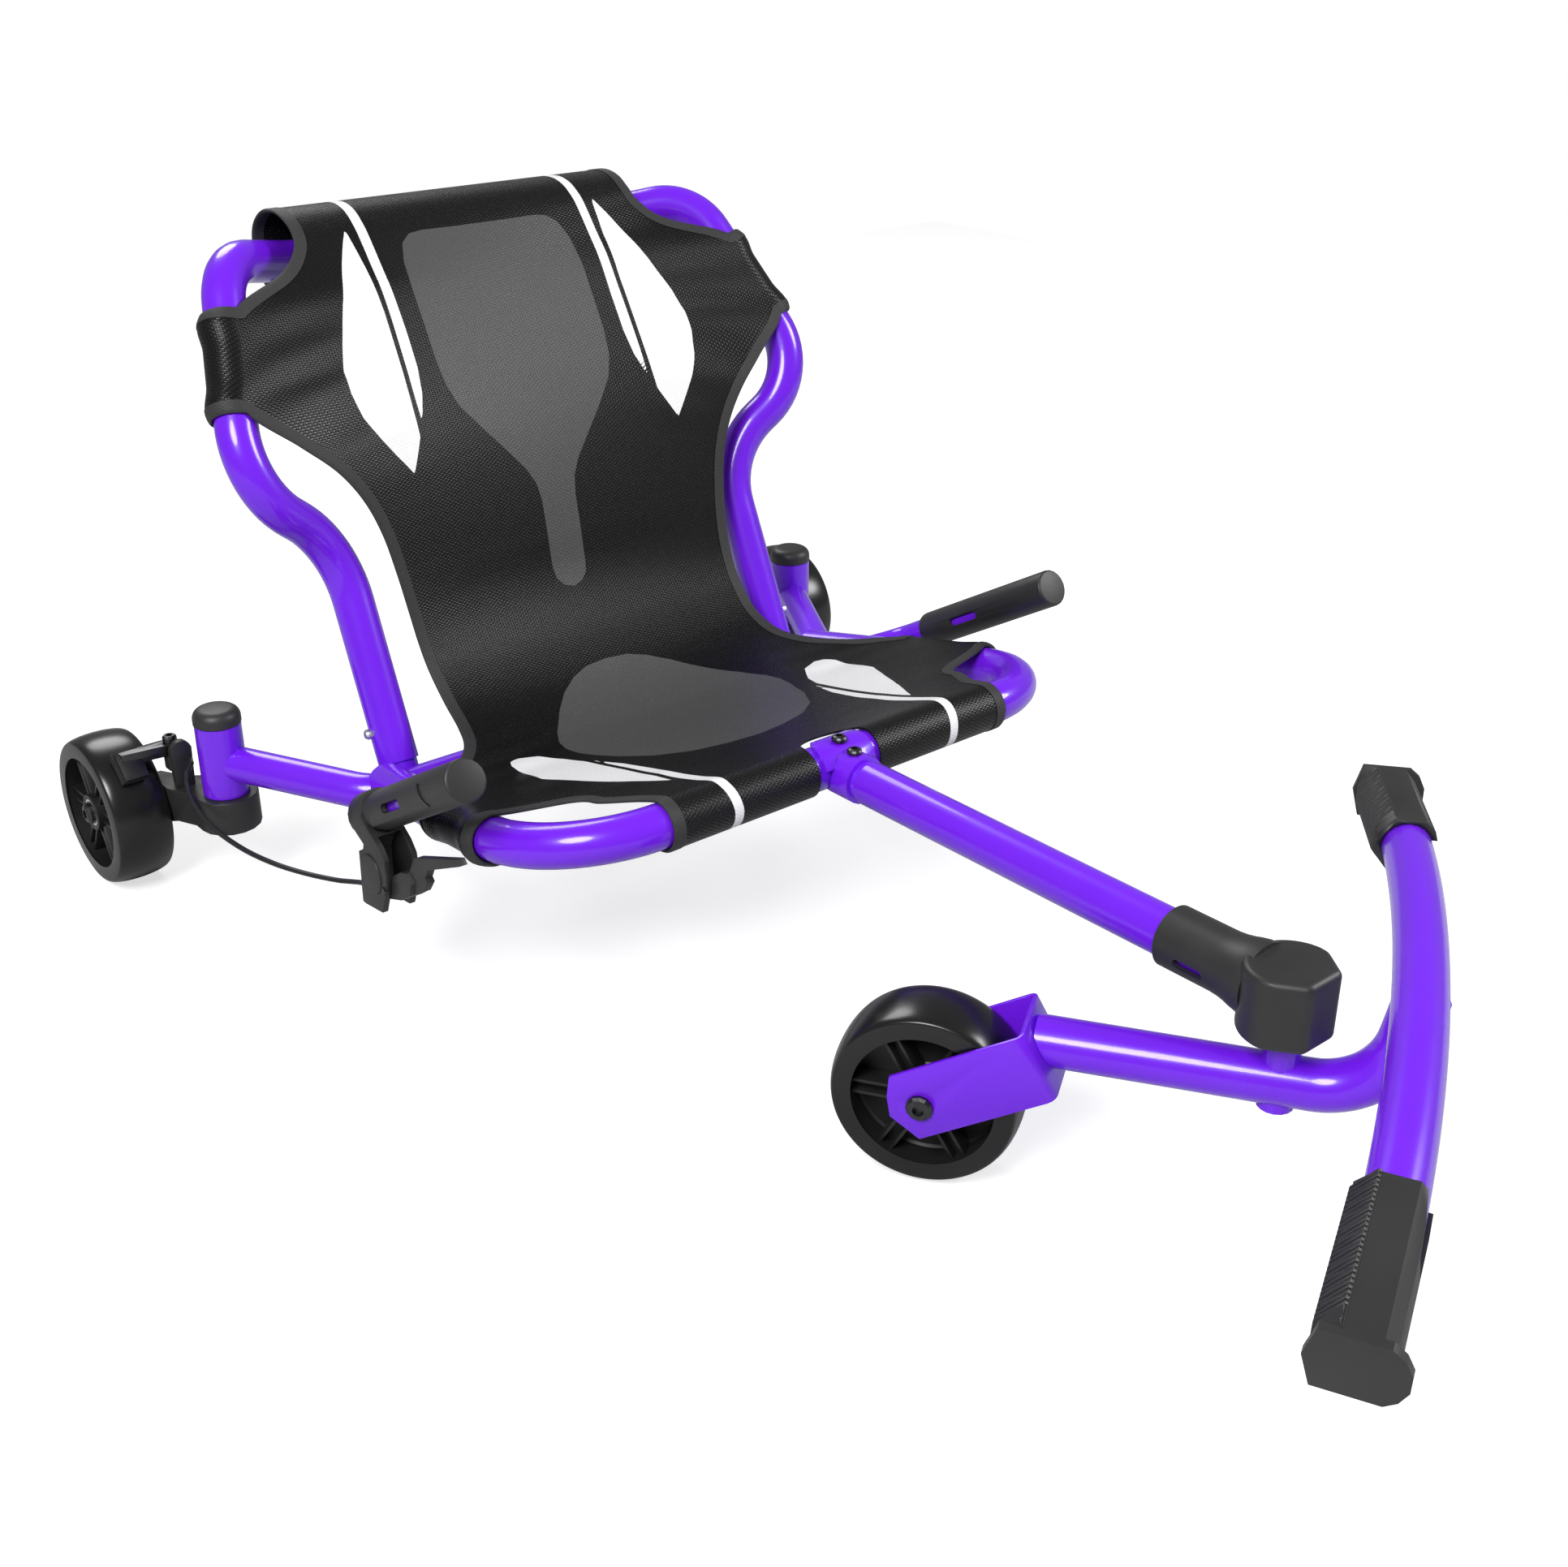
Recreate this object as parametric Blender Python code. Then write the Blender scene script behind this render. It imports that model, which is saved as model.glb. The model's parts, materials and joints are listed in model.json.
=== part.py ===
"""Sit-down scooter: a sling seat on a bent-tube frame, two rear casters and a steered front wheel.

The rider sits in the sling with both feet on the foot bar and steers and drives the scooter with
the legs. Lengths are in metres. The scooter faces -Y, +X is the rider's left and z = 0 is the ground.
Inside the scooter empty, y is the distance behind the steering axis.
"""
import math

import bmesh
import bpy
from mathutils import Matrix, Vector

for old in list(bpy.data.objects):
    bpy.data.objects.remove(old, do_unlink=True)

# Fits between pieces
GAP = 0.0003
COPE_DEPTH = 0.004
SIDES = 16
SMALL_SIDES = 12

# Steering axis, and the place of the origin under the middle of the scooter
PIVOT_Y = -0.3478
STEER_ANGLE = math.radians(32.93)

# Main tube sizes
TUBE_RADIUS = 0.0155
TUBE_WALL = 0.0015
STUB_RADIUS = TUBE_RADIUS - TUBE_WALL - GAP
HANDLE_RADIUS = 0.011
HANDLE_WALL = 0.0012

# Wheels
WHEEL_RADIUS = 0.060
WHEEL_SHOULDER_RADIUS = 0.0573
WHEEL_WIDTH = 0.044
RIM_RADIUS = 0.0491
RIM_WALL = 0.0030
TYRE_BORE_RADIUS = RIM_RADIUS + 0.0006
HUB_RADIUS = 0.0145
HUB_WIDTH = 0.041
WEB_THICKNESS = 0.003
SPOKE_COUNT = 6
SPOKE_WIDTH = 0.0105
SPOKE_RIB = 0.0022
SPOKE_RIB_REACH = 0.0165
SPOKE_FLOOR_REACH = 0.0095
BEARING_RADIUS = 0.011
BEARING_BORE_RADIUS = 0.0041
BEARING_WIDTH = 0.007
AXLE_RADIUS = 0.0036
AXLE_HEAD_RADIUS = 0.0085
AXLE_HEAD_HEIGHT = 0.0046
AXLE_SOCKET_RADIUS = 0.0036

# Rear casters
REAR_TRACK = 0.6788
REAR_AXLE_Y = 0.855
CASTER_OFFSET = 0.0564
HEAD_X = REAR_TRACK / 2.0 - CASTER_OFFSET
HEAD_Y = 0.769
HEAD_RADIUS = 0.0175
HEAD_BORE_RADIUS = 0.0145
HEAD_BOTTOM = 0.087
HEAD_TOP = 0.145
CAP_RADIUS = 0.018
CAP_HEIGHT = 0.012
CASTER_BLOCK_BOTTOM = 0.060
CASTER_BLOCK_RADIUS = 0.0235
CASTER_ARM_OUTER = 0.0334
CASTER_ARM_INNER = 0.0150
CASTER_BOSS_RADIUS = 0.0165
KINGPIN_RADIUS = 0.0080
KINGPIN_HEAD_RADIUS = 0.0120
KINGPIN_HEAD_HEIGHT = 0.0060

# Rear beam and its seat-back stubs
BEAM_Z = 0.113
BEAM_MIDDLE_Z = 0.108
BEAM_Y = 0.648
BEAM_KNEE_X = 0.216
BEAM_BEND_RADIUS = 0.040
STUB_TOP_REACH = 0.050

# Seat base loop
BASE_Y = 0.386
BASE_Z = 0.165
BASE_HALF_WIDTH = 0.2385
BASE_REAR_HALF_WIDTH = 0.2075
BASE_REAR_Y = 0.652
BASE_SLOPE = -0.193
BASE_BEND_RADIUS = 0.078

# Seat-back tube, from its foot to the middle of its top bar
BACK_FOOT = Vector((0.185, 0.6737, 0.1175))
BACK_WAIST = Vector((0.183, 0.741, 0.272))
BACK_ELBOW = Vector((0.260, 0.7215, 0.333))
BACK_SHOULDER = Vector((0.213, 0.817, 0.471))
BACK_CORNER = Vector((0.134, 0.865, 0.454))
BACK_BEND_RADII = (0.075, 0.058, 0.047, 0.060)
BUTTON_RADIUS = 0.0040
BUTTON_REACH = 0.0075
BUTTON_DEPTH = 0.0100
BUTTON_HEIGHT = 0.0253

# Boom, its saddle on the seat base and the pivot head
BOOM_Z = 0.162
BOOM_FRONT_Y = 0.0205
SADDLE_FRONT_Y = BASE_Y - 0.0315
BOOM_REAR_Y = SADDLE_FRONT_Y - 0.0055
SADDLE_RADIUS = 0.0172
SADDLE_SHELL = 0.0028
SADDLE_HALF_WIDTH = 0.0235
SADDLE_SPIGOT_LENGTH = 0.055
SADDLE_BOLT_FRONT_Y = BASE_Y - 0.0205
SADDLE_BOLT_REAR_Y = BASE_Y - 0.0045
SADDLE_BOLT_RADIUS = 0.0055
PIVOT_HEAD_BOTTOM = 0.137
PIVOT_HEAD_TOP = 0.182
PIVOT_HEAD_HALF_WIDTH = 0.0278
PIVOT_HEAD_NOSE = 0.0235
PIVOT_HEAD_NOSE_HALF_WIDTH = 0.0142
PIVOT_HEAD_REAR_RADIUS = 0.0284
PIVOT_SLEEVE_RADIUS = 0.0195
PIVOT_SLEEVE_END = 0.084
PIVOT_SLOT_Y = 0.068
PIVOT_SLOT_LENGTH = 0.020
PIVOT_SLOT_WIDTH = 0.005
BUSH_WALL = 0.0056
BUSH_LENGTH = 0.0125

# Steered front assembly
TRAIL = 0.2034
FRONT_TUBE_Z = 0.1045
FRONT_TUBE_BEND_RADIUS = 0.048
FRONT_TUBE_BEND_START = -0.018
FRONT_TUBE_BEND_ANGLE = math.radians(80.0)
STEERING_PIN_RADIUS = 0.011
STEERING_PIN_BOTTOM = 0.0870
FORK_RAKE = math.radians(29.0)
FORK_INSIDE = 0.0235
FORK_PLATE = 0.003
FORK_REACH = 0.0785
FORK_CORNER_RADIUS = 0.006
FORK_LOW = -0.0210
FORK_HIGH = 0.0250

# Foot bar and pegs
FOOT_BAR_RADIUS = 1.355
FOOT_BAR_HALF_LENGTH = 0.2840
FOOT_BAR_Y = -0.068
FOOT_BAR_Z = 0.1804
FOOT_BAR_TILT = math.radians(45.0)
PEG_ROOT = 0.187
PEG_LONG_REACH = 0.030
PEG_PLATE_AT = 0.2850
PEG_PLATE = 0.0050
PEG_HALF_HEIGHT = 0.0178
PEG_FRONT = 0.0182
PEG_TREAD_FACE = 0.0190
PEG_TREAD_DEPTH = 0.0016
PEG_TREAD_RIDGES = 16

# Handles, grips and the brake lever's bracket
GRIP_OUT = 0.0279
GRIP_END = Vector((BASE_HALF_WIDTH + GRIP_OUT, 0.4313, 0.2176))
HANDLE_SPLAY = 0.035
HANDLE_RISE = 0.495
HANDLE_LENGTH = 0.187
HANDLE_BEND_RADIUS = 0.020
HANDLE_ROOT_Y = 0.600
GRIP_RADIUS = 0.0145
GRIP_LENGTH = 0.1467
GRIP_CAP = 0.005
GRIP_WINDOW_FROM_END = 0.0925
GRIP_WINDOW_LENGTH = 0.032
GRIP_WINDOW_HEIGHT = 0.0062
RING_RADIUS = 0.0165
RING_LENGTH = 0.022
BRACKET_OUTER = 0.0150
BRACKET_INNER = 0.0100
BRACKET_PLATE = 0.0042
LEVER_PIN_BEHIND = 0.150
LEVER_PIN_BELOW = 0.053
LEVER_PIN_RADIUS = 0.0025
BLADE_OUTER = 0.0075
BLADE_INNER = 0.0015

# Rear brake
POST_X = 0.0200
POST_Y = 0.0280
POST_WIDTH = 0.017
POST_THICKNESS = 0.006
POST_TOP = 0.125
BRAKE_PIN_X = 0.0230
BRAKE_PIN_RADIUS = 0.0030
BRAKE_LUG_BOTTOM = 0.1010
BRAKE_LUG_TOP = 0.1122
BRAKE_ARM_RADIUS = 0.0062
BRAKE_ARM_THICKNESS = 0.0090
PAD_GAP = 0.0020
PAD_THICKNESS = 0.0070
PAD_HALF_WIDTH = 0.0100
PAD_LOW_ANGLE = math.radians(38.0)
PAD_HIGH_ANGLE = math.radians(60.0)
CABLE_RADIUS = 0.0020
# The cable's route in two stretches: (out from the seat base, y, z) and (out from the head tube, behind it, z)
CABLE_BY_HANDLE = [
    (0.0250, 0.5660, 0.0795), (0.0247, 0.5722, 0.0781), (0.0241, 0.5882, 0.0751), (0.0265, 0.6030, 0.0715),
    (0.0322, 0.6195, 0.0678), (0.0424, 0.6498, 0.0642), (0.0531, 0.6800, 0.0638),
]
CABLE_BY_CASTER = [
    (0.0173, -0.0540, 0.0654), (0.0259, -0.0240, 0.0748), (0.0292, -0.0030, 0.0880), (0.0260, 0.0110, 0.1025),
    (0.0160, 0.0205, 0.1093), (0.0145, 0.0274, 0.1100),
]
CABLE_ROUTE = [Vector((-BASE_HALF_WIDTH - out, y, z)) for out, y, z in CABLE_BY_HANDLE]
CABLE_ROUTE += [Vector((-HEAD_X - out, HEAD_Y + behind, z)) for out, behind, z in CABLE_BY_CASTER]

# Sling
CLOTH = 0.0016
CLOTH_CLEARANCE = 0.0009
WRAP_RADIUS = TUBE_RADIUS + CLOTH_CLEARANCE + CLOTH / 2
SEAT_CREASE_Y = 0.658


def material(name, colour, roughness, metallic=0.0):
    """A plain Principled finish."""
    finish = bpy.data.materials.new(name)
    finish.use_nodes = True
    shader = finish.node_tree.nodes["Principled BSDF"]
    shader.inputs["Base Color"].default_value = (*colour, 1.0)
    shader.inputs["Roughness"].default_value = roughness
    shader.inputs["Metallic"].default_value = metallic
    return finish


VIOLET = material("violet_paint", (0.145, 0.022, 0.62), 0.25)
PLASTIC = material("charcoal_plastic", (0.035, 0.035, 0.035), 0.5)
WHEEL_PLASTIC = material("wheel_plastic", (0.022, 0.022, 0.022), 0.55)
TREAD = material("tread_rubber", (0.012, 0.012, 0.012), 0.25)
STEEL = material("bright_steel", (0.55, 0.55, 0.56), 0.3, 1.0)
DARK_STEEL = material("dark_steel", (0.06, 0.06, 0.06), 0.35, 1.0)
FABRIC = material("woven_fabric", (0.012, 0.012, 0.012), 0.85)
CABLE = material("cable_sheath", (0.02, 0.02, 0.02), 0.4)


def empty(name, parent, location=(0.0, 0.0, 0.0), matrix=None):
    """A frame of reference that carries the pieces parented to it."""
    frame = bpy.data.objects.new(name, None)
    bpy.context.scene.collection.objects.link(frame)
    frame.parent = parent
    frame.matrix_local = matrix if matrix else Matrix.Translation(location)
    return frame


def add(name, mesh_data, parent, finish, sharp=35.0):
    """Turn a bmesh into a named, smooth-shaded object under its parent."""
    bmesh.ops.recalc_face_normals(mesh_data, faces=mesh_data.faces)
    mesh = bpy.data.meshes.new(name)
    mesh_data.to_mesh(mesh)
    mesh_data.free()
    mesh.shade_smooth()
    mesh.set_sharp_from_angle(angle=math.radians(sharp))
    piece = bpy.data.objects.new(name, mesh)
    bpy.context.scene.collection.objects.link(piece)
    piece.parent = parent
    if finish:
        piece.data.materials.append(finish)
    return piece


def combine(piece, mesh_data, operation):
    """Join, cut or keep the common part with a hidden tool in the piece's own space."""
    tool = add(piece.name + "_tool_" + str(len(piece.modifiers)), mesh_data, piece.parent, None)
    tool.hide_render = True
    tool.display_type = "WIRE"
    boolean = piece.modifiers.new(operation.lower(), "BOOLEAN")
    boolean.operation = operation
    boolean.solver = "EXACT"
    boolean.object = tool
    return piece


def join(piece, mesh_data):
    """Union with a tool shape."""
    return combine(piece, mesh_data, "UNION")


def cut(piece, mesh_data):
    """Subtract a tool shape."""
    return combine(piece, mesh_data, "DIFFERENCE")


def keep(piece, mesh_data):
    """Keep what lies inside a tool shape."""
    return combine(piece, mesh_data, "INTERSECT")


def arc(centre, radius, start, end, steps):
    """Points on a round arc in the plane, from one angle to another."""
    angles = [start + (end - start) * step / steps for step in range(steps + 1)]
    return [(centre[0] + radius * math.cos(a), centre[1] + radius * math.sin(a)) for a in angles]


def turned(profile, axis="Z", sides=SIDES):
    """Solid of revolution; the profile is a closed loop of (radius, place along the axis)."""
    shape = bmesh.new()
    rings = []
    for radius, height in profile:
        if radius < 1e-7:
            rings.append([shape.verts.new((0.0, 0.0, height))])
            continue
        ring = []
        for side in range(sides):
            angle = 2.0 * math.pi * side / sides
            ring.append(shape.verts.new((radius * math.cos(angle), radius * math.sin(angle), height)))
        rings.append(ring)
    for lower, upper in zip(rings, rings[1:] + rings[:1]):
        for side in range(sides):
            after = (side + 1) % sides
            if len(lower) == 1 and len(upper) == 1:
                continue
            if len(lower) == 1:
                shape.faces.new((lower[0], upper[side], upper[after]))
            elif len(upper) == 1:
                shape.faces.new((lower[side], lower[after], upper[0]))
            else:
                shape.faces.new((lower[side], lower[after], upper[after], upper[side]))
    turn = {"Z": Matrix.Identity(4),
            "X": Matrix.Rotation(math.pi / 2.0, 4, "Y"),
            "Y": Matrix.Rotation(-math.pi / 2.0, 4, "X")}[axis]
    bmesh.ops.transform(shape, matrix=turn, verts=shape.verts)
    return shape


def placed(shape, matrix):
    """Move a bmesh by a matrix, or by a vector."""
    if not isinstance(matrix, Matrix):
        matrix = Matrix.Translation(matrix)
    bmesh.ops.transform(shape, matrix=matrix, verts=shape.verts)
    return shape


def prism(outline, low, high, axis="Z"):
    """Extrude a flat outline along an axis: Z takes (x, y), X takes (y, z) and Y takes (x, z)."""
    shape = bmesh.new()
    corner = {"Z": lambda a, b, h: (a, b, h), "X": lambda a, b, h: (h, a, b), "Y": lambda a, b, h: (a, h, b)}[axis]
    bottom = [shape.verts.new(corner(a, b, low)) for a, b in outline]
    top = [shape.verts.new(corner(a, b, high)) for a, b in outline]
    shape.faces.new(bottom)
    shape.faces.new(top)
    for index in range(len(outline)):
        after = (index + 1) % len(outline)
        shape.faces.new((bottom[index], bottom[after], top[after], top[index]))
    return shape


def merged(shapes):
    """Put several separate shapes in one bmesh."""
    whole = bmesh.new()
    for shape in shapes:
        scratch = bpy.data.meshes.new("scratch")
        shape.to_mesh(scratch)
        shape.free()
        whole.from_mesh(scratch)
        bpy.data.meshes.remove(scratch)
    return whole


def across(points):
    """The same points on the rider's other side, in reverse order."""
    return [Vector((-point.x, point.y, point.z)) for point in reversed(points)]


def bent(corners, radii, steps):
    """Centre line through corners, with each inner corner rounded to its bend radius."""
    path = [corners[0]]
    for before, corner, after, radius in zip(corners, corners[1:], corners[2:], radii):
        inward = (before - corner).normalized()
        onward = (after - corner).normalized()
        half = inward.angle(onward) / 2.0
        start = corner + inward * (radius / math.tan(half))
        centre = corner + (inward + onward).normalized() * (radius / math.sin(half))
        spoke = start - centre
        turn_axis = spoke.cross(corner - start).normalized()
        sweep_angle = math.pi - 2.0 * half
        for step in range(steps + 1):
            path.append(centre + Matrix.Rotation(sweep_angle * step / steps, 3, turn_axis) @ spoke)
    path.append(corners[-1])
    return path


def to_plane(point, normal):
    """End cut that slides a point along the tube to a plane."""
    def trim(place, along):
        return place + along * ((point - place).dot(normal) / along.dot(normal))
    return trim


def to_tube(point, axis, radius):
    """End cut that slides a point along the tube to the near side of another tube."""
    def trim(place, along):
        offset = place - point
        offset -= axis * offset.dot(axis)
        run = along - axis * along.dot(axis)
        square = run.dot(run)
        middle = offset.dot(run) / square
        reach = (offset.dot(offset) - radius * radius) / square
        return place + along * (-middle - math.sqrt(max(middle * middle - reach, 0.0)))
    return trim


def swept(path, radius, bore=0.0, sides=SIDES, start_cut=None, end_cut=None):
    """Round bar along a path, or an open-ended tube where a bore is given."""
    shape = bmesh.new()
    count = len(path)
    across_path = Vector((0.0, 0.0, 1.0))
    sections = []
    for index, place in enumerate(path):
        ahead = path[min(index + 1, count - 1)] - place
        behind = place - path[max(index - 1, 0)]
        along = (ahead.normalized() + behind.normalized()).normalized()
        if index == 0 and abs(across_path.dot(along)) > 0.9:
            across_path = Vector((0.0, 1.0, 0.0))
        across_path = (across_path - along * across_path.dot(along)).normalized()
        other = along.cross(across_path)
        section = []
        for size in ((radius, bore) if bore else (radius,)):
            ring = []
            for side in range(sides):
                angle = 2.0 * math.pi * (side + 0.5) / sides
                spot = place + (across_path * math.cos(angle) + other * math.sin(angle)) * size
                if index == 0 and start_cut:
                    spot = start_cut(spot, -along)
                if index == count - 1 and end_cut:
                    spot = end_cut(spot, along)
                ring.append(shape.verts.new(spot))
            section.append(ring)
        sections.append(section)
    for first, second in zip(sections, sections[1:]):
        for one, two in zip(first, second):
            for side in range(sides):
                after = (side + 1) % sides
                shape.faces.new((one[side], one[after], two[after], two[side]))
    for section in (sections[0], sections[-1]):
        if bore:
            for side in range(sides):
                after = (side + 1) % sides
                shape.faces.new((section[0][side], section[0][after], section[1][after], section[1][side]))
        else:
            shape.faces.new(section[0])
    return shape


def rod(start, end, radius, sides=SIDES):
    """Straight round bar between two points."""
    return swept([Vector(start), Vector(end)], radius, sides=sides)


def box(low, high):
    """Rectangular block between two corners."""
    return prism([(low[0], low[1]), (high[0], low[1]), (high[0], high[1]), (low[0], high[1])], low[2], high[2])


def slot_outline(centre, length, width, steps=4):
    """Outline with straight sides and round ends, long along its first axis."""
    half = (length - width) / 2.0
    right = arc((centre[0] + half, centre[1]), width / 2.0, -math.pi / 2.0, math.pi / 2.0, steps)
    left = arc((centre[0] - half, centre[1]), width / 2.0, math.pi / 2.0, 1.5 * math.pi, steps)
    return right + left


scooter = empty("scooter", None, (0.0, PIVOT_Y, 0.0))
steered = empty("steering_axis", scooter, matrix=Matrix.Rotation(STEER_ANGLE, 4, "Z"))


def socket_bolt(head_radius, head_height, shank_radius, shank_length, socket_radius):
    """Button-head bolt along Z: the head stands on z = 0 and the shank runs down."""
    rise = head_height * 0.55
    profile = [
        (0.0, -shank_length),
        (shank_radius, -shank_length),
        (shank_radius, 0.0),
        (head_radius, 0.0),
        (head_radius, head_height - rise),
        (head_radius * 0.82, head_height - rise * 0.35),
        (head_radius * 0.55, head_height),
        (socket_radius, head_height),
        (socket_radius, head_height * 0.35),
        (0.0, head_height * 0.35),
    ]
    return turned(profile, sides=SMALL_SIDES)


def wheel(name, carrier, side, centre):
    """Spoked rim, cast tread and two bearings; the bolt head's side of the wheel faces +side."""
    axis = empty(name + "_axis", carrier, centre)
    half = WHEEL_WIDTH / 2.0
    hub = HUB_WIDTH / 2.0
    web = WEB_THICKNESS / 2.0
    seat = hub - BEARING_WIDTH - GAP
    pocket = BEARING_RADIUS + GAP
    shoulder = BEARING_RADIUS - 0.0022
    inner = RIM_RADIUS - RIM_WALL
    rim_half = half - 0.0006
    rim_profile = [
        (pocket, hub), (pocket, seat), (shoulder, seat), (shoulder, -seat), (pocket, -seat), (pocket, -hub),
        (HUB_RADIUS, -hub), (HUB_RADIUS, -web), (inner, -web), (inner, -rim_half), (RIM_RADIUS, -rim_half),
        (RIM_RADIUS, rim_half), (inner, rim_half), (inner, web), (HUB_RADIUS, web), (HUB_RADIUS, hub),
    ]
    rim = add(name + "_rim", turned(rim_profile, "X", 18), axis, WHEEL_PLASTIC)
    width = SPOKE_WIDTH / 2.0
    spokes = []
    for face in (-1.0, 1.0):
        low, floor, rib = 0.0, SPOKE_FLOOR_REACH, SPOKE_RIB_REACH
        section = [
            (-width, low), (width, low), (width, rib), (width - SPOKE_RIB, rib), (width - SPOKE_RIB, floor),
            (SPOKE_RIB - width, floor), (SPOKE_RIB - width, rib), (-width, rib),
        ]
        for index in range(SPOKE_COUNT):
            start = web * 0.5 * face
            outline = [(across_spoke, start + reach * face) for across_spoke, reach in section]
            spoke = prism(outline, HUB_RADIUS - 0.0015, inner + 0.0012)
            # The section lies in local (x, y) and runs along z: stand it up and turn it round the axle.
            stand = Matrix(((0.0, 1.0, 0.0, 0.0), (1.0, 0.0, 0.0, 0.0), (0.0, 0.0, 1.0, 0.0), (0.0, 0.0, 0.0, 1.0)))
            spokes.append(placed(spoke, Matrix.Rotation(math.radians(60.0 * index + 30.0), 4, "X") @ stand))
    for spoke in spokes[:SPOKE_COUNT]:
        bmesh.ops.recalc_face_normals(spoke, faces=spoke.faces)
    join(rim, merged(spokes[:SPOKE_COUNT]))
    join(rim, merged(spokes[SPOKE_COUNT:]))
    crown = WHEEL_RADIUS - WHEEL_SHOULDER_RADIUS
    tyre_profile = [
        (TYRE_BORE_RADIUS, half), (TYRE_BORE_RADIUS, -half), (WHEEL_SHOULDER_RADIUS - 0.0010, -half),
        (WHEEL_SHOULDER_RADIUS + crown * 0.30, -half * 0.88), (WHEEL_RADIUS, -half * 0.25),
        (WHEEL_RADIUS, half * 0.25), (WHEEL_SHOULDER_RADIUS + crown * 0.30, half * 0.88),
        (WHEEL_SHOULDER_RADIUS - 0.0010, half),
    ]
    add(name + "_tyre", turned(tyre_profile, "X", 32), axis, TREAD)
    for end, label in ((side, "outer"), (-side, "inner")):
        ends = sorted((end * (hub - 0.0004), end * (hub - BEARING_WIDTH)))
        ring = [
            (BEARING_BORE_RADIUS, ends[1]), (BEARING_BORE_RADIUS, ends[0]),
            (BEARING_RADIUS, ends[0]), (BEARING_RADIUS, ends[1]),
        ]
        add(name + "_bearing_" + label, turned(ring, "X", 12), axis, STEEL)
    return axis


def axle_bolt(name, carrier, centre, side, head_face, length):
    """Wheel axle: a socket bolt along X whose head face is at side * head_face from the wheel's middle."""
    turn = Matrix.Rotation(side * math.pi / 2.0, 4, "Y")
    shape = socket_bolt(AXLE_HEAD_RADIUS, AXLE_HEAD_HEIGHT, AXLE_RADIUS, length, AXLE_SOCKET_RADIUS)
    move = Matrix.Translation(Vector(centre) + Vector((side * head_face, 0.0, 0.0)))
    return add(name, placed(shape, move @ turn), carrier, DARK_STEEL)


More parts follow.
